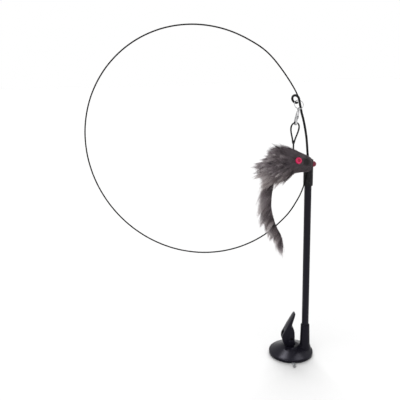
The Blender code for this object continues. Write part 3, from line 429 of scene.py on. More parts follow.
def drawn_steel(name, dark, pale, rough, edge):
    """Metal with fine drawing lines and an uneven shine. edge is its shine at a low angle."""
    made, tree = new_material(name)
    cloud = grain(tree, 220.0, 6.0)
    lines = grain(tree, 1500.0, 3.0, (1.0, 1.0, 0.12))
    base = ramp(tree, cloud, [(0.35, dark), (0.7, pale)])
    streaks = between(tree, lines, rough - 0.06, rough + 0.08)
    shine = math_node(tree, "ADD", streaks, between(tree, cloud, 0.0, 0.08))
    metal = {"Metallic": 1.0, "Specular Tint": colour(edge, edge, edge)}
    return surface(made, base, shine, bump(tree, lines, 0.25, 0.03 * MM), more=metal)


def braided_elastic(name):
    """Cord cover: threads that cross along the tube's own length and turn."""
    made, tree = new_material(name)
    lay = add(tree, "SeparateXYZ", {0: stored(tree, "lay", "Vector")}).outputs
    weave = braid(tree, lay["X"], lay["Y"], lay["Z"], CORD_THREADS, CORD_RADIUS)
    # The cover is darker between the ribs: painted shade in the grooves between the threads.
    base = ramp(tree, weave, [(0.2, (0.006, 0.006, 0.007)), (1.0, (0.024, 0.023, 0.025))])
    fuzz = bump(tree, grain(tree, 3000.0, 4.0), 0.3, 0.05 * MM)
    threads = bump(tree, weave, 0.7, 0.2 * MM, fuzz)
    return surface(made, base, between(tree, weave, 0.85, 0.62, 0.0, 1.0), threads, 0.25)


def clear_rubber(name, thin, thick):
    """Clear soft rubber, a little cloudy."""
    made, tree = new_material(name)
    cloud = grain(tree, 180.0, 6.0)
    base = ramp(tree, cloud, [(0.3, thin), (0.75, thick)])
    fine = bump(tree, grain(tree, 900.0, 4.0), 0.15, 0.05 * MM)
    clear = {"Transmission Weight": 0.65, "IOR": 1.42}
    return surface(made, base, between(tree, cloud, 0.18, 0.36), fine, more=clear)


def hide(name):
    """Skin under the fur."""
    made, tree = new_material(name)
    pores = grain(tree, 1400.0, 6.0)
    base = ramp(tree, pores, [(0.3, (0.032, 0.026, 0.028)), (0.75, (0.062, 0.052, 0.056))])
    return surface(made, base, between(tree, pores, 0.7, 0.95), bump(tree, pores, 0.6, 0.2 * MM), 0.15)


def fur(name):
    """Hair from dark to pale by its tone, which holds painted shade towards each hair's root. warm mixes in
    the brownish hair of belly and tail.
    """
    made, tree = new_material(name)
    tone = stored(tree, "tone")
    grey = ramp(tree, tone, [
        (0.0, (0.014, 0.011, 0.013)), (0.35, (0.125, 0.100, 0.115)),
        (0.7, (0.30, 0.255, 0.28)), (1.0, (0.60, 0.55, 0.57))])
    brown = ramp(tree, tone, [
        (0.0, (0.017, 0.012, 0.012)), (0.35, (0.155, 0.122, 0.118)),
        (0.7, (0.37, 0.31, 0.295)), (1.0, (0.66, 0.59, 0.56))])
    mixed = add(tree, "Mix", {0: stored(tree, "warm"), 6: grey, 7: brown}, data_type="RGBA").outputs[2]
    sheen = {"Sheen Weight": 0.12, "Sheen Roughness": 0.5}
    return surface(made, mixed, between(tree, tone, 0.62, 0.5, 0.0, 1.0), None, 0.18, sheen)


def bead(name, stops):
    """Glossy dyed bead, shaded from its middle to its rim."""
    made, tree = new_material(name)
    dye = between(tree, grain(tree, 700.0, 3.0), -0.05, 0.05)
    base = ramp(tree, math_node(tree, "ADD", stored(tree, "rim"), dye), stops)
    roughness = between(tree, grain(tree, 900.0, 4.0), 0.16, 0.34)
    uneven = bump(tree, grain(tree, 1300.0, 3.0), 0.12, 0.05 * MM)
    return surface(made, base, roughness, uneven, 0.3, {"Coat Weight": 0.12, "Coat Roughness": 0.12})


# Mesh helpers

def put(name, mesh, made, body):
    """A new object with a material, which rides on a body where one is named."""
    mesh.materials.append(made)
    obj = bpy.data.objects.new(name, mesh)
    bpy.context.scene.collection.objects.link(obj)
    if body:
        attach(obj, body)
    return obj


def mesh_of(name, points, faces):
    """Mesh of points and of faces that all have the same number of corners."""
    mesh = bpy.data.meshes.new(name)
    mesh.vertices.add(len(points))
    mesh.vertices.foreach_set("co", np.asarray(points, np.float32).ravel())
    corners = faces.shape[1]
    mesh.loops.add(faces.size)
    mesh.loops.foreach_set("vertex_index", faces.astype(np.int32).ravel())
    mesh.polygons.add(len(faces))
    mesh.polygons.foreach_set("loop_start", np.arange(0, faces.size, corners, dtype=np.int32))
    mesh.update(calc_edges=True)
    mesh.validate()
    mesh.shade_smooth()
    return mesh


def keep_numbers(mesh, name, values):
    """Hold a number or a vector at each point of a mesh, for its material."""
    values = np.asarray(values, np.float32)
    kind = "FLOAT_VECTOR" if values.ndim == 2 else "FLOAT"
    field = "vector" if values.ndim == 2 else "value"
    mesh.attributes.new(name, kind, "POINT").data.foreach_set(field, values.ravel())


def skin(name, rings):
    """Triangles between rings of points, with a fan on each end."""
    count = len(rings)
    sides = len(rings[0])
    a = np.arange(sides)
    b = (a + 1) % sides
    triangles = []
    for i in range(count - 1):
        low = i * sides
        high = low + sides
        triangles.append(np.column_stack([low + a, low + b, high + b]))
        triangles.append(np.column_stack([low + a, high + b, high + a]))
    last = (count - 1) * sides
    middle = count * sides
    triangles.append(np.column_stack([b, a, np.full(sides, middle)]))
    triangles.append(np.column_stack([last + a, last + b, np.full(sides, middle + 1)]))
    points = np.vstack(rings + [rings[0].mean(0), rings[-1].mean(0)])
    return mesh_of(name, points, np.vstack(triangles))


def tube(name, points, radii, sides):
    """Round tube with rounded ends. The attribute lay holds the turn, as cosine and sine, and the length."""
    path = np.array(points)
    radii = np.broadcast_to(np.asarray(radii, float), len(path))
    steps = np.linalg.norm(np.diff(path, axis=0), axis=1)
    run = np.concatenate([[0.0], np.cumsum(steps)])
    ways = np.gradient(path, run, axis=0)
    ways /= np.linalg.norm(ways, axis=1)[:, None]
    side = np.cross(ways[0], FIRST_SIDE)
    turn = 2 * np.pi * np.arange(sides) / sides
    rings = []
    lays = []
    for place, way, radius, length in zip(path, ways, radii, run):
        side = side - way * side.dot(way)
        side /= np.linalg.norm(side)
        up = np.cross(way, side)
        rings.append(place + radius * (np.outer(np.cos(turn), side) + np.outer(np.sin(turn), up)))
        lays.append(np.column_stack([np.cos(turn), np.sin(turn), np.full(sides, length)]))
    first = path[0] + (rings[0] - path[0]) * CAP_NARROW - ways[0] * radii[0] * CAP_BULGE
    last = path[-1] + (rings[-1] - path[-1]) * CAP_NARROW + ways[-1] * radii[-1] * CAP_BULGE
    mesh = skin(name, [first] + rings + [last])
    middles = np.zeros((2, 3))
    keep_numbers(mesh, "lay", np.vstack([lays[0]] + lays + [lays[-1], middles]))
    return mesh


def lathe(name, profile, sides, matrix):
    """Turn a profile of (radius, height) from axis down to axis. rim holds the share of the widest radius."""
    turn = 2 * np.pi * np.arange(sides) / sides
    circle = np.column_stack([np.cos(turn), np.sin(turn)])
    widest = max(r for r, _ in profile)
    rings = []
    rims = []
    for radius, height in reversed(profile):
        radius = max(radius, LEAST_RADIUS * widest)
        rings.append(np.column_stack([circle * radius, np.full(sides, height)]))
        rims += [radius / widest] * sides
    mesh = skin(name, rings)
    keep_numbers(mesh, "rim", rims + [0.0, 0.0])
    mesh.transform(matrix)
    return mesh


def rows_at(at, known, rows):
    """Rows of points or ways, read off between the known places."""
    return np.column_stack([np.interp(at, known, rows[:, k]) for k in range(3)])


def smooth_route(points, step=None, pieces=CURVE_PIECES):
    """Points on a smooth curve through the given ones, evenly spaced where a step is given."""
    points = [Vector(p) for p in points]
    ends = [2 * points[0] - points[1]] + points + [2 * points[-1] - points[-2]]
    dense = [points[0]]
    for before, a, b, after in zip(ends, ends[1:], ends[2:], ends[3:]):
        for i in range(1, pieces + 1):
            t = i / pieces
            dense.append(0.5 * (2 * a + (b - before) * t + (2 * before - 5 * a + 4 * b - after) * t ** 2
                                + (3 * a - before - 3 * b + after) * t ** 3))
    if step is None:
        return dense
    path = np.array(dense)
    run = np.concatenate([[0.0], np.cumsum(np.linalg.norm(np.diff(path, axis=0), axis=1))])
    at = np.linspace(0.0, run[-1], max(2, round(run[-1] / step)) + 1)
    return [Vector(p) for p in rows_at(at, run, path)]


def rounded(profile, pieces):
    """A smoother profile through the given points."""
    return [tuple(p)[:2] for p in smooth_route([(r, z, 0) for r, z in profile], None, pieces)]


def finish_node(name, made, edge=0.0):
    """Give a node of the model its material, smooth shading and, where asked, fine rounded edges."""
    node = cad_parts[name]
    node.data.materials.clear()
    node.data.materials.append(made)
    node.data.shade_smooth()
    weld = node.modifiers.new("weld", "WELD")
    weld.merge_threshold = 0.002 * MM
    if edge:
        bevel = node.modifiers.new("edge", "BEVEL")
        bevel.width = edge
        bevel.segments = 2
        bevel.limit_method = "ANGLE"
        bevel.angle_limit = math.radians(40)
    split = node.modifiers.new("creases", "EDGE_SPLIT")
    split.split_angle = math.radians(32)


# Camera and stage

def make_camera():
    data = bpy.data.cameras.new("camera")
    data.lens = CAMERA_LENS
    data.shift_x = -CAMERA_SHIFT
    data.shift_y = CAMERA_SHIFT
    camera = bpy.data.objects.new("camera", data)
    turn = Matrix.Rotation(CAMERA_PITCH, 4, "X") @ Matrix.Rotation(CAMERA_ROLL, 4, "Z")
    camera.matrix_world = Matrix.Translation(CAMERA_PLACE) @ turn
    bpy.context.scene.collection.objects.link(camera)
    bpy.context.scene.camera = camera


def make_floor():
    made, tree = new_material("floor")
    base = ramp(tree, grain(tree, 6.0, 3.0), [(0.3, (0.59, 0.59, 0.59)), (0.7, (0.61, 0.61, 0.61))])
    surface(made, base, 0.9, None, 0.0)
    signs = [(-1, -1, 0), (1, -1, 0), (1, 1, 0), (-1, 1, 0)]
    mesh = mesh_of("floor", np.array(signs) * FLOOR_HALF, np.array([[0, 1, 2, 3]]))
    floor = put("floor", mesh, made, None)
    return floor


def make_world():
    """White to the camera, reflections and clear surfaces, and a plain level of light on the object."""
    world = bpy.data.worlds.new("studio")
    world.use_nodes = True
    tree = world.node_tree
    path = add(tree, "LightPath").outputs
    either = math_node(tree, "MAXIMUM", path["Is Camera Ray"], path["Is Glossy Ray"])
    seen = math_node(tree, "MAXIMUM", either, path["Is Transmission Ray"])
    level = between(tree, seen, AMBIENT, 1.0, 0.0, 1.0)
    wire_up(tree, tree.nodes["Background"], {"Color": colour(1, 1, 1), "Strength": level})
    bpy.context.scene.world = world


def make_lamp(name, kind, strength, lit):
    """A lamp that lights only the collection lit, or everything where that is None."""
    data = bpy.data.lights.new(name, kind)
    data.energy = strength
    lamp = bpy.data.objects.new(name, data)
    lamp.light_linking.receiver_collection = lit
    bpy.context.scene.collection.objects.link(lamp)
    return lamp


def make_lamps(floor):
    floor_only = bpy.data.collections.new("floor_only")
    floor_only.objects.link(floor)
    for name, source, strength, width, shadow_maker in SUNS:
        sun = make_lamp(name, "SUN", strength, floor_only if shadow_maker else None)
        sun.data.angle = math.radians(width)
        sun.rotation_euler = Vector(source).to_track_quat("Z", "Y").to_euler()
    mouldings = bpy.data.collections.new("mouldings")
    for name in MOULDINGS:
        mouldings.objects.link(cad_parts[name])
    for name, place, size, power in SOFTBOXES:
        softbox = make_lamp(name, "AREA", power, mouldings)
        softbox.data.shape = "RECTANGLE"
        softbox.data.size, softbox.data.size_y = size
        softbox.location = place
        softbox.rotation_euler = (SOFTBOX_AIM - Vector(place)).to_track_quat("-Z", "Y").to_euler()


# Suction pad

def make_pad(rubber):
    """Clear pad with fine rings under its edge."""
    profile = list(PAD_ROWS)
    for radius in GROOVES:
        profile += [(radius + GROOVE_HALF, 0.0), (radius, GROOVE_DEPTH), (radius - GROOVE_HALF, 0.0)]
    profile.append((0, 0.0))
    rows = [(r * MM, z * MM) for r, z in profile]
    mesh = lathe("suction_pad_moulded", rows, PAD_SIDES, Matrix.Identity(4))
    pad = put("suction_pad_moulded", mesh, rubber, None)
    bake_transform(pad)
    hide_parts("suction_pad")


def boxy(values, power):
    """Values from -1 to 1, pushed out towards those ends."""
    return np.sign(values) * np.abs(values) ** power


def make_tab(rubber, bead_painted_shade_rubber):
    """Tongue with a bead to pull the pad off by. The bead has a darker rubber, painted shade for the dark of
    the clear bead's shaded underside.
    """
    turn = 2 * np.pi * np.arange(TAB_SIDES) / TAB_SIDES
    across = TAB_WIDTH / 2 * boxy(np.cos(turn), TAB_BOX_ACROSS)
    upward = boxy(np.sin(turn), TAB_BOX_UPWARD)
    rings = []
    for out, low, high in TAB_ROWS:
        heights = (low + high) / 2 + (high - low) / 2 * upward
        rings.append(np.column_stack([np.full(TAB_SIDES, out), across, heights]) * MM)
    mesh = skin("pad_tab", rings)
    mesh.transform(Matrix.Rotation(TAB_ANGLE, 4, "Z"))
    tab = put("pad_tab", mesh, rubber, "base")
    # The bead's end gets the darker rubber: painted shade, not a different rubber.
    mesh.materials.append(bead_painted_shade_rubber)
    for face in mesh.polygons:
        face.material_index = int(face.center.length > TAB_BEAD_FROM)


# Wire, sheath and ring

def from_tube_end(place):
    return TUBE_END + Vector(place) * MM


def loop_point(degrees):
    """A point of the wire's loop, a slightly oval spiral that comes forward as it turns."""
    angle = math.radians(degrees)
    turn = angle / (2 * math.pi)
    radius = LOOP_RADIUS + LOOP_GROWTH * turn + LOOP_OVAL * math.cos(2 * (angle - LOOP_OVAL_ANGLE))
    centre = TUBE_END + Vector((LOOP_OVERLAP - LOOP_RADIUS, -LOOP_PITCH * turn, LOOP_CENTRE_Z))
    return centre + Vector((math.cos(angle), 0, math.sin(angle))) * radius


def make_wire(steel):
    held = [TUBE_END + Vector((0, 0, height)) for height in (-WIRE_SEAT, -WIRE_SEAT / 2, 0)]
    loop = [loop_point(degrees) for degrees in range(LOOP_FROM, LOOP_TO + 1, LOOP_STEP)]
    route = held + [from_tube_end(p) for p in RISE] + loop + [from_tube_end(p) for p in APPROACH]
    mesh = tube("spring_wire_drawn", smooth_route(route, WIRE_STEP), WIRE_RADIUS, WIRE_SIDES)
    wire = put("spring_wire_drawn", mesh, steel, "rod")
    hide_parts("spring_wire")


def eyelet_frame():
    """Centre of the eyelet, its way up and the way from the sheath to its centre."""
    upright = from_tube_end(EYELET_SIDE)
    up = (upright - from_tube_end(SHANK[-1])).normalized()
    side = Vector((-math.cos(EYELET_YAW), math.sin(EYELET_YAW), 0))
    side = (side - up * side.dot(up)).normalized()
    return upright + side * EYELET_RADIUS, up, side


def make_sheath(rubber):
    wire_end = from_tube_end(APPROACH[-1])
    start = wire_end + (from_tube_end(APPROACH[-2]) - wire_end).normalized() * SHEATH_SEAT
    route = [start, wire_end] + [from_tube_end(p) for p in SHANK + [EYELET_SIDE]]
    centre, up, side = eyelet_frame()
    angles = [EYELET_SWEEP * i / EYELET_STEPS for i in range(1, EYELET_STEPS + 1)]
    hook = [centre + (up * math.sin(a) - side * math.cos(a)) * EYELET_RADIUS for a in angles]
    path = smooth_route(route, SHEATH_STEP) + hook
    mesh = tube("end_sheath_moulded", path, SHEATH_RADIUS, SHEATH_SIDES)
    sheath = put("end_sheath_moulded", mesh, rubber, "rod")
    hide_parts("end_sheath")


def make_ring(steel):
    top = eyelet_frame()[0] + Vector(RING_IN_EYELET) * (EYELET_RADIUS - SHEATH_RADIUS)
    turn = Matrix.Rotation(RING_YAW, 4, "Z") @ Matrix.Rotation(-RING_TILT, 4, "X")
    place = Matrix.Translation(top) @ turn @ Matrix.Translation((0, 0, -RING_RADIUS))
    start = RING_SPLIT_AT + RING_SPLIT / 2
    sweep = 2 * math.pi - RING_SPLIT
    angles = [start + sweep * i / RING_STEPS for i in range(RING_STEPS + 1)]
    points = [place @ (Vector((math.cos(a), 0, math.sin(a))) * RING_RADIUS) for a in angles]
    ring = put("jump_ring_wire", tube("jump_ring_wire", points, RING_WIRE, RING_SIDES), steel, "ring")
    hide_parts("jump_ring")


# Cord

def cord_path():
    """From inside the mouse up to the knot, round the loop over the claw and back into the knot."""
    across_way = Vector((math.cos(RING_YAW), math.sin(RING_YAW), 0))
    heights = np.linspace(-CORD_SEAT, STEM_SHARE * CORD_STEM, STEM_POINTS)
    stem = [CORD_ENTRY + Vector((0, 0, z)) for z in heights]
    loop = []
    for i in range(-DROP_STEPS, DROP_STEPS + 1):
        angle = DROP_SWEEP * i / DROP_STEPS
        down = (1 - math.cos(angle)) / 2
        drop_shape = math.sin(angle) * math.cos(angle / 2) ** 2 / DROP_WIDEST
        across = CORD_HALF_WIDTH * drop_shape + math.copysign(LEG_SPACING / 2, angle) * down
        loop.append(CORD_TOP + across_way * across + CORD_TO_KNOT * down)
    return smooth_route(stem + loop, CORD_STEP)


def make_knot(elastic):
    coil = []
    for i in range(KNOT_STEPS + 1):
        along = 2 * i / KNOT_STEPS - 1
        angle = 2 * math.pi * KNOT_WRAPS * i / KNOT_STEPS
        out = KNOT_RADIUS - KNOT_TAPER * abs(along) ** 3
        coil.append(KNOT + Vector((out * math.cos(angle), out * math.sin(angle), along * KNOT_HALF)))
    knot = put("cord_knot", tube("cord_knot", coil, KNOT_STRAND, KNOT_SIDES), elastic, "toy")
    return knot


def make_cord(elastic):
    path = cord_path()
    far = np.array([(p - CORD_TOP).length for p in path])
    radii = CORD_RADIUS * (1.0 - CORD_PINCH * np.exp(-(far / PINCH_LENGTH) ** 2))
    cord = put("cord_elastic", tube("cord_elastic", path, radii, CORD_SIDES), elastic, "toy")
    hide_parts("cord_loop")
    knot = make_knot(elastic)


# Mouse's skin

HEAD_ROWS = np.array(rounded(HEAD_PROFILE, CURVE_PIECES))


def head_frame():
    turn = Matrix.Rotation(HEAD_TILT, 4, "Y") @ Matrix.Diagonal((1, HEAD_FLAT, 1, 1))
    return Matrix.Translation(NOSE_TIP) @ turn


def head_radius(depth):
    return HEAD_RADIUS * np.interp(np.asarray(depth) / HEAD_LENGTH, HEAD_ROWS[:, 1], HEAD_ROWS[:, 0])


def fuller_chin(local):
    """Fuller underside of the muzzle, in the head's own frame."""
    local = local.copy()
    fuller = 1.0 + CHIN * np.exp(-((local[:, 0] + CHIN_DEPTH) / CHIN_SPREAD) ** 2)
    local[:, 2] *= np.where(local[:, 2] < 0, fuller, 1.0)
    return local


def eye_place(sign):
    radii, depths = zip(*HEAD_PROFILE)
    radius = float(np.interp(EYE_DEPTH / HEAD_LENGTH, depths, radii)) * HEAD_RADIUS - EYE_SINK
    sideways = sign * radius * math.cos(EYE_ANGLE)
    return head_frame() @ Vector((-EYE_DEPTH, sideways, radius * math.sin(EYE_ANGLE)))


def tail_route():
    return smooth_route([TAIL_ROOT + Vector((x, 0, z)) * MM for x, z in TAIL], TAIL_STEP)


def tail_radius(share):
    slim = TAIL_TIP_RADIUS / TAIL_RADIUS
    return TAIL_RADIUS * (1.0 + (slim - 1.0) * share ** TAIL_TAPER)


def lumpy(mesh, height, scale):
    """Small soft lumps, as in a stuffed skin."""
    for vertex in mesh.vertices:
        vertex.co += vertex.normal * height * noise.noise(vertex.co * scale)
    mesh.update()
    return mesh


def body_hide():
    shape = bmesh.new()
    bmesh.ops.create_uvsphere(shape, u_segments=64, v_segments=40, radius=1.0)
    place = Matrix.Translation(BODY_CENTRE) @ Matrix.Diagonal((*BODY_SIZE, 1.0))
    bmesh.ops.transform(shape, matrix=place, verts=shape.verts)
    mesh = bpy.data.meshes.new("mouse_body_hide")
    shape.to_mesh(mesh)
    shape.free()
    mesh.shade_smooth()
    return lumpy(mesh, *BODY_LUMPS)


def head_hide():
    rows = [(float(r) * HEAD_RADIUS, -float(d) * HEAD_LENGTH) for r, d in HEAD_ROWS]
    rows.append((0.0, -HEAD_LENGTH - HEAD_BULGE))
    mesh = lathe("mouse_head_hide", rows, HEAD_SIDES, Matrix.Rotation(math.pi / 2, 4, "Y"))
    local = np.empty(3 * len(mesh.vertices), np.float32)
    mesh.vertices.foreach_get("co", local)
    mesh.vertices.foreach_set("co", fuller_chin(local.reshape(-1, 3)).ravel())
    mesh.transform(head_frame())
    mesh.update()
    return lumpy(mesh, *HEAD_LUMPS)


def tail_hide():
    route = tail_route()
    radii = tail_radius(np.linspace(0.0, 1.0, len(route)))
    return lumpy(tube("mouse_tail_hide", route, radii, TAIL_SIDES), *TAIL_LUMPS)


def make_hides(skin_material):
    meshes = {"mouse_body": body_hide(), "mouse_head": head_hide(), "mouse_tail": tail_hide()}
    for node, mesh in meshes.items():
        piece = put(node + "_hide", mesh, skin_material, "toy")
        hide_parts(node)


# Hair

def unit(vectors):
    return vectors / np.maximum(np.linalg.norm(vectors, axis=1), 1e-12)[:, None]


def far_from(points, place):
    return np.linalg.norm(points - np.array(place), axis=1)


def patchy(points, scale):
    return np.array([noise.noise(Vector(p) * scale) for p in points])


def gather(coat, tufts, pull, chance):
    """Each hair joins the nearest leader's tuft, and its tip is drawn towards the leader's."""
    roots = coat.roots
    nearest = np.array([((roots[tufts] - root) ** 2).sum(1).argmin() for root in roots])
    lengths = coat.lengths * chance.uniform(*TUFT_LENGTHS, len(tufts))[nearest]
    tone = coat.tone + chance.normal(0, TUFT_TONES, len(tufts))[nearest]
    leader = tufts[nearest]
    spans = coat.ways + coat.droop
    ends = roots + spans * lengths[:, None]
    wanted = roots[leader] + spans[leader] * lengths[:, None]
    drawn = (wanted - ends) * pull * chance.uniform(*TUFT_PULLS, len(roots))[:, None]
    return coat._replace(lengths=lengths, tone=tone), drawn


def hair_faces(rows):
    """Faces of one closed hair: a three-sided tube that ends in a point."""
    faces = [(0, 2, 1)]
    for low in range(0, 3 * (rows - 1), 3):
        for k in range(3):
            a = low + k
            b = low + (k + 1) % 3
            faces += [(a, b, b + 3), (a, b + 3, a + 3)]
    top = 3 * (rows - 1)
    faces += [(top + k, top + (k + 1) % 3, top + 3) for k in range(3)]
    return np.array(faces)


def grow(name, coat, drawn, hair, chance, material):
    """Tapered, slightly wavy hairs on the mouse. drawn is how far each tip is pulled aside."""
    roots, ways, lengths, droop, tone, warm = coat
    count = len(roots)
    side = unit(np.cross(ways, chance.normal(size=(count, 3))))
    up = np.cross(ways, side)
    wave = side * chance.normal(0, HAIR_WAVE, count)[:, None]
    wave += up * chance.normal(0, HAIR_WAVE, count)[:, None]
    points = []
    tones = []
    for row in range(hair.rows):
        share = row / hair.rows
        middle = (roots + ways * (lengths * share)[:, None] + drawn * share ** PULL_POWER
                  + droop * (lengths * share ** 2)[:, None]
                  + wave * (lengths * math.sin(math.pi * share))[:, None])
        thick = hair.radius * (1.0 - HAIR_TAPER * share)
        for k in range(3):
            turn = 2 * math.pi * k / 3
            points.append(middle + (side * math.cos(turn) + up * math.sin(turn)) * thick)
            # Each hair is darker towards its root, painted shade between the hairs, and grows paler to its
            # tip.
            tones.append(np.clip(tone * (ROOT_SHADE_TONE + TONE_RISE * share), 0, 1))
    points.append(roots + (ways + droop) * lengths[:, None] + drawn)
    tones.append(np.clip(tone * TIP_TONE + TIP_PALER, 0, 1))
    each = len(points)
    starts = np.arange(count) * each
    faces = hair_faces(hair.rows)[None] + starts[:, None, None]
    mesh = mesh_of(name, np.stack(points, 1).reshape(-1, 3), faces.reshape(-1, 3))
    keep_numbers(mesh, "tone", np.stack(tones, 1).ravel())
    keep_numbers(mesh, "warm", np.repeat(warm, each))
    put(name, mesh, material, "toy")


# Body fur

def under_head(points):
    """True for points of the body that the head covers."""
    back = np.array(head_frame().inverted())
    local = points @ back[:3, :3].T + back[:3, 3]
    depth = -local[:, 0]
    share = np.hypot(local[:, 1], local[:, 2]) / np.maximum(head_radius(depth), 1e-6)
    return (depth < UNDER_HEAD_DEPTH) & (share < UNDER_HEAD_SHARE)


def reach(roots, ways):
    """How far each hair can grow, seen from the side, before it comes to the fur's outline."""
    start = (roots - np.array(CORD_ENTRY))[:, [0, 2]]
    way = ways[:, [0, 2]]
    corners = np.array(FUR_OUTLINE) * MM
    best = np.full(len(roots), np.inf)
    for a, b in zip(corners, np.roll(corners, -1, axis=0)):
        edge = b - a
        gap = a - start
        cross = way[:, 0] * edge[1] - way[:, 1] * edge[0]
        cross = np.where(np.abs(cross) < 1e-9, 1e-9, cross)
        run = (gap[:, 0] * edge[1] - gap[:, 1] * edge[0]) / cross
        along = (gap[:, 0] * way[:, 1] - gap[:, 1] * way[:, 0]) / cross
        hit = (run > 0) & (along >= 0) & (along <= 1)
        best[hit] = np.minimum(best[hit], run[hit])
    return np.where(np.isfinite(best), best, 0.0)


def lock_pull(tips):
    """How the tips move towards the nearest pointed lock, seen from the side, and draw in to its middle."""
    locks = np.array(CORD_ENTRY)[[0, 2]] + np.array(FUR_LOCKS) * MM
    gaps = locks[None] - tips[:, None, [0, 2]]
    far = np.linalg.norm(gaps, axis=2)
    near = far.argmin(1)
    row = np.arange(len(tips))
    pull = LOCK_PULL * np.exp(-(far[row, near] / LOCK_SIZE) ** 2)
    move = gaps[row, near] * pull[:, None]
    flatten = -LOCK_FLATTEN * pull * (tips[:, 1] - CORD_ENTRY.y)
    return np.column_stack([move[:, 0], flatten, move[:, 1]])


def make_body_fur(material, name, seed, grown, tufts, pull):
    """Hair that streams back from the head to the outline and stands up on the crown and the belly."""
    chance = np.random.default_rng(seed)
    size = np.array(BODY_SIZE)
    centre = np.array(BODY_CENTRE)
    ball = unit(chance.normal(size=(BODY_STRANDS * SPARE, 3)))
    stretch = np.linalg.norm(ball / size, axis=1)
    ball = ball[chance.random(len(ball)) < stretch / stretch.max()]
    roots = centre + ball * size * BODY_SINK
    normals = unit(ball / size)
    bare = under_head(roots)
    roots = roots[~bare][:BODY_STRANDS]
    normals = normals[~bare][:BODY_STRANDS]
    count = len(roots)

    back = np.clip((CORD_ENTRY.x + BACK_FROM - roots[:, 0]) / BACK_LENGTH, 0, 1)
    height = (roots[:, 2] - centre[2]) / size[2]
    top = np.clip(height, 0, 1)
    belly = np.clip(-height, 0, 1)
    flow = unit(roots - np.array(FLOW_FROM))
    lift = 0.10 + 0.72 * top ** 2 * (1 - back) + (0.38 + 0.25 * back) * belly
    ways = unit(flow * 0.9 + normals * lift[:, None] + chance.normal(0, 0.06, (count, 3)))
    longest = (11.0 + 11.0 * (1 - np.abs(normals[:, 1])) + 13.0 * belly * back) * MM
    lengths = np.clip(reach(roots, ways) * chance.uniform(*grown, count), SHORTEST_HAIR, longest)
    droop = np.array([0, 0, -1.0]) * (0.02 + 0.12 * belly * back)[:, None]
    droop += lock_pull(roots + (ways + droop) * lengths[:, None]) / lengths[:, None]

    tone = 0.29 + 0.34 * back ** 1.5 + 0.28 * belly + 0.22 * patchy(roots, 190.0)
    tone += chance.normal(0, 0.08, count)
    warm = np.clip(0.15 + 0.7 * belly + chance.normal(0, 0.15, count), 0, 1)
    leaders = chance.choice(count, tufts, replace=False)
    coat, drawn = gather(Coat(roots, ways, lengths, droop, tone, warm), leaders, pull, chance)
    grow(name, coat, drawn, BODY_HAIR, chance, material)


# Head fur

def head_surface(depth, turn):
    """Points on the head, the way out from each and the way back along the skin."""
    radius = head_radius(depth)
    slope = (head_radius(depth + SLOPE_STEP) - head_radius(depth - SLOPE_STEP)) / (2 * SLOPE_STEP)
    lean = np.arctan(slope)
    across = np.cos(turn)
    upward = np.sin(turn)
    local = fuller_chin(np.column_stack([-depth, radius * across, radius * upward]))
    outward = np.column_stack([np.sin(lean), np.cos(lean) * across, np.cos(lean) * upward])
    backward = np.column_stack([-np.cos(lean), np.sin(lean) * across, np.sin(lean) * upward])
    place = np.array(head_frame())
    axes = place[:3, :3].T
    return local @ axes + place[:3, 3], unit(outward @ axes), unit(backward @ axes)


def make_head_fur(material):
    """Short hair that lies back along the head, longer towards the neck and longest on the crown."""
    chance = np.random.default_rng(FUR_SEED + 1)
    depth = chance.uniform(*HEAD_FUR_SHARES, HEAD_STRANDS * SPARE) * HEAD_LENGTH
    depth = depth[chance.random(len(depth)) < head_radius(depth) / HEAD_RADIUS][:HEAD_STRANDS]
    turn = chance.uniform(0, 2 * math.pi, len(depth))
    roots, normals, flow = head_surface(depth, turn)
    inside = (roots - np.array(BODY_CENTRE)) / np.array(BODY_SIZE) * BODY_CLEAR
    clear = ((inside ** 2).sum(1) > 1) & (far_from(roots, NOSE_TIP) > NOSE_BARE)
    for sign in (1, -1):
        clear &= far_from(roots, eye_place(sign)) > EYE_BARE
    roots, normals, flow, depth, turn = (values[clear] for values in (roots, normals, flow, depth, turn))
    count = len(roots)

    back = np.clip((depth / HEAD_LENGTH - HEAD_BACK_FROM) / (1 - HEAD_BACK_FROM), 0, 1)
    crown = np.clip(np.sin(turn), 0, 1) ** 2 * back
    lift = 0.17 + 0.15 * back + 0.02 * crown
    ways = unit(flow + normals * lift[:, None] + chance.normal(0, 0.08, (count, 3)))
    lengths = (1.5 + 1.2 * depth / HEAD_LENGTH + 6.0 * back ** 1.6 + 11.0 * crown) * MM
    lengths *= chance.uniform(0.7, 1.2, count)

    chin = np.clip(-np.sin(turn), 0, 1)
    tone = 0.34 + 0.10 * patchy(roots, 260.0) - 0.08 * chin * (1 - back) + chance.normal(0, 0.07, count)
    x, y, z = SNOUT_SPOT
    for sign in (1, -1):
        spot = head_frame() @ (Vector((x, sign * y, z)) * MM)
        fade = np.exp(-(far_from(roots, spot) / SPOT_SIZE) ** 4)
        tone = tone * (1.0 - fade) + SPOT_TONE * fade
    warm = np.clip(0.1 + 0.6 * chin * back + chance.normal(0, 0.12, count), 0, 1)
    still = np.zeros((count, 3))
    coat = Coat(roots, ways, lengths, still, tone, warm)
    grow("mouse_head_fur", coat, still, HEAD_HAIR, chance, material)


# Tail fur

def tail_frame(share):
    """The tail's centre, the way along it and the way to its left, at shares of its length."""
    route = np.array(tail_route())
    ways = unit(np.gradient(route, axis=0))
    row = np.arange(len(route))
    at = share * row[-1]
    centre = rows_at(at, row, route)
    along = unit(rows_at(at, row, ways))
    left = unit(np.cross(along, TOWARDS_FRONT))
    left *= np.where(left[:, 0] > 0, -1.0, 1.0)[:, None]
    return centre, along, left


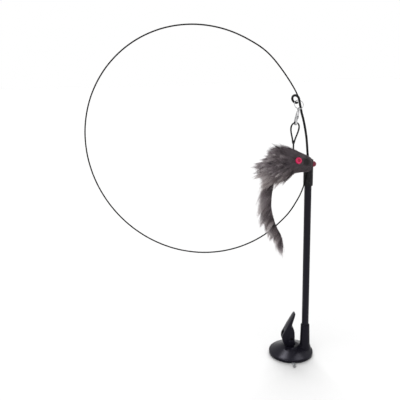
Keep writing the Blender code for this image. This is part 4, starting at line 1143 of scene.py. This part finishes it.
def hanging_tips(roots, outward, lengths, radius, spread):
    """Tips that hang down, spread between the tail's right edge and the hem."""
    tips = roots + np.array([0, 0, -TAIL_HANG]) * lengths[:, None]
    tips[:, 1] += outward[:, 1] * TAIL_FLUFF
    hem = np.array(TAIL_ROOT)[[0, 2]] + np.array(TAIL_HEM) * MM
    centre = np.array([(p.x, p.z) for p in tail_route()] + [tuple(hem[-1])])
    right = np.interp(tips[:, 2], centre[::-1, 1], centre[::-1, 0]) + radius
    leftmost = np.interp(tips[:, 2], hem[::-1, 1], hem[::-1, 0])
    tips[:, 0] = right + (leftmost - right) * spread
    return tips


def make_tail_fur(material):
    """A strip of fur: long hair hangs down on its left, short hair lies on its right, and a brush ends it."""
    chance = np.random.default_rng(FUR_SEED + 5)
    count = TAIL_STRANDS
    share = np.sort(chance.random(count)) ** 0.9
    centre, along, left = tail_frame(share)
    turn = chance.uniform(0, 2 * math.pi, count)
    outward = left * np.cos(turn)[:, None] + TOWARDS_FRONT * np.sin(turn)[:, None]
    radius = tail_radius(share)
    roots = centre + outward * (radius * TAIL_SINK)[:, None]

    leftness = (np.cos(turn) + 1) / 2
    brush = np.clip((share - BRUSH_FROM) / (1 - BRUSH_FROM), 0, 1)
    ways = unit(along * 0.6 + outward * (0.15 * (1 - brush))[:, None]
                + left * (0.8 * leftness * (1 - brush))[:, None] + chance.normal(0, 0.05, (count, 3)))
    start = np.clip(share / 0.16, 0.35, 1)
    lengths = (4.0 + 20.0 * leftness * start * (1 - 0.5 * share) + 13.0 * brush) * MM
    lengths *= chance.uniform(0.7, 1.08, count)
    spread = leftness ** 0.6 * chance.uniform(0.85, 1.02, count)
    tips = hanging_tips(roots, outward, lengths, radius, spread)
    droop = (tips - roots) / lengths[:, None] - ways

    # The long hair on the left is paler, partly its own colour and partly a painted sheen.
    tone = 0.42 + 0.52 * leftness ** 1.5 - 0.2 * share + 0.18 * brush + 0.22 * patchy(roots, 150.0)
    tone += chance.normal(0, 0.12, count)
    warm = np.clip(0.35 + 0.3 * patchy(roots, 90.0) + chance.normal(0, 0.15, count), 0, 1)
    leaders = chance.choice(count, TAIL_TUFTS, replace=False)
    coat, drawn = gather(Coat(roots, ways, lengths, droop, tone, warm), leaders, TAIL_PULL, chance)
    grow("mouse_tail_fur", coat, drawn, TAIL_HAIR, chance, material)


# Eyes and nose

def bead_mesh(name, rows, scale, place, out):
    """A turned bead at a place, with its top towards out."""
    turn = out.to_track_quat("Z", "Y").to_matrix().to_4x4()
    profile = [(r * scale, z * scale) for r, z in rounded(rows, BEAD_PIECES)]
    return lathe(name, profile, BEAD_SIDES, Matrix.Translation(place) @ turn)


def make_beads(eye_red, nose_red):
    axes = head_frame().to_3x3().normalized()
    for side, sign in (("left", 1), ("right", -1)):
        out = axes @ Vector((EYE_FORWARD, sign * math.cos(EYE_ANGLE), math.sin(EYE_ANGLE)))
        mesh = bead_mesh("eye_bead_" + side, EYE_ROWS, EYE_SCALE, eye_place(sign), out)
        eye = put("eye_bead_" + side, mesh, eye_red, "toy")
        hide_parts("eye_" + side)
    mesh = bead_mesh("nose_bead", NOSE_ROWS, NOSE_SCALE, NOSE_TIP, axes @ Vector((1, 0, 0)))
    nose = put("nose_bead", mesh, nose_red, "toy")
    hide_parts("nose")


# Build

make_camera()
floor = make_floor()
make_world()
make_lamps(floor)

steel = drawn_steel("nickel", (0.42, 0.42, 0.43), (0.62, 0.62, 0.63), 0.2, 0.8)
dark_steel = drawn_steel("spring_steel", (0.007, 0.0065, 0.0065), (0.014, 0.013, 0.013), 0.5, 0.15)
elastic = braided_elastic("elastic")
rubber = black_rubber("rubber")
plastic = moulded_black("cover_plastic", (0.006, 0.0055, 0.009), (0.022, 0.021, 0.027), 0.22)
tube_plastic = moulded_black("tube_plastic", (0.009, 0.0085, 0.012), (0.026, 0.025, 0.031), 0.36)
pad_rubber = clear_rubber("pad_rubber", (0.62, 0.64, 0.66), (0.80, 0.81, 0.82))
# Darker clear rubber for the tab's bead: painted shade.
tab_painted_shade_rubber = clear_rubber("tab_painted_shade_rubber", (0.36, 0.36, 0.37), (0.52, 0.52, 0.53))
fur_material = fur("fur")
skin_material = hide("hide")
eye_red = bead("eye_bead", [
    (0.0, (0.30, 0.001, 0.025)), (0.36, (0.34, 0.002, 0.03)), (0.46, (0.62, 0.018, 0.10)),
    (0.95, (0.64, 0.02, 0.11)), (0.995, (0.15, 0.006, 0.03))])
nose_red = bead("nose_bead", [
    (0.0, (0.05, 0.002, 0.01)), (0.25, (0.11, 0.005, 0.02)), (0.8, (0.20, 0.006, 0.03)),
    (1.0, (0.14, 0.004, 0.022))])

make_cord(elastic)
make_wire(dark_steel)
make_sheath(rubber)
make_ring(steel)

finish_node("base_cover", plastic, COVER_EDGE)
finish_node("lock_lever", plastic)
finish_node("pad_stem", plastic)
finish_node("lever_pin", dark_steel)
make_pad(pad_rubber)
make_tab(pad_rubber, tab_painted_shade_rubber)
finish_node("support_tube", tube_plastic)
finish_node("tube_sleeve", braided_sleeve("sleeve"))
finish_node("wire_plug", rubber)
for name in ("swivel_eye", "clasp_body", "clasp_gate", "clasp_rivet"):
    finish_node(name, steel)

make_hides(skin_material)
for layer in BODY_LAYERS:
    make_body_fur(fur_material, *layer)
make_head_fur(fur_material)
make_tail_fur(fur_material)
make_beads(eye_red, nose_red)

bpy.context.scene.view_settings.view_transform = "Standard"
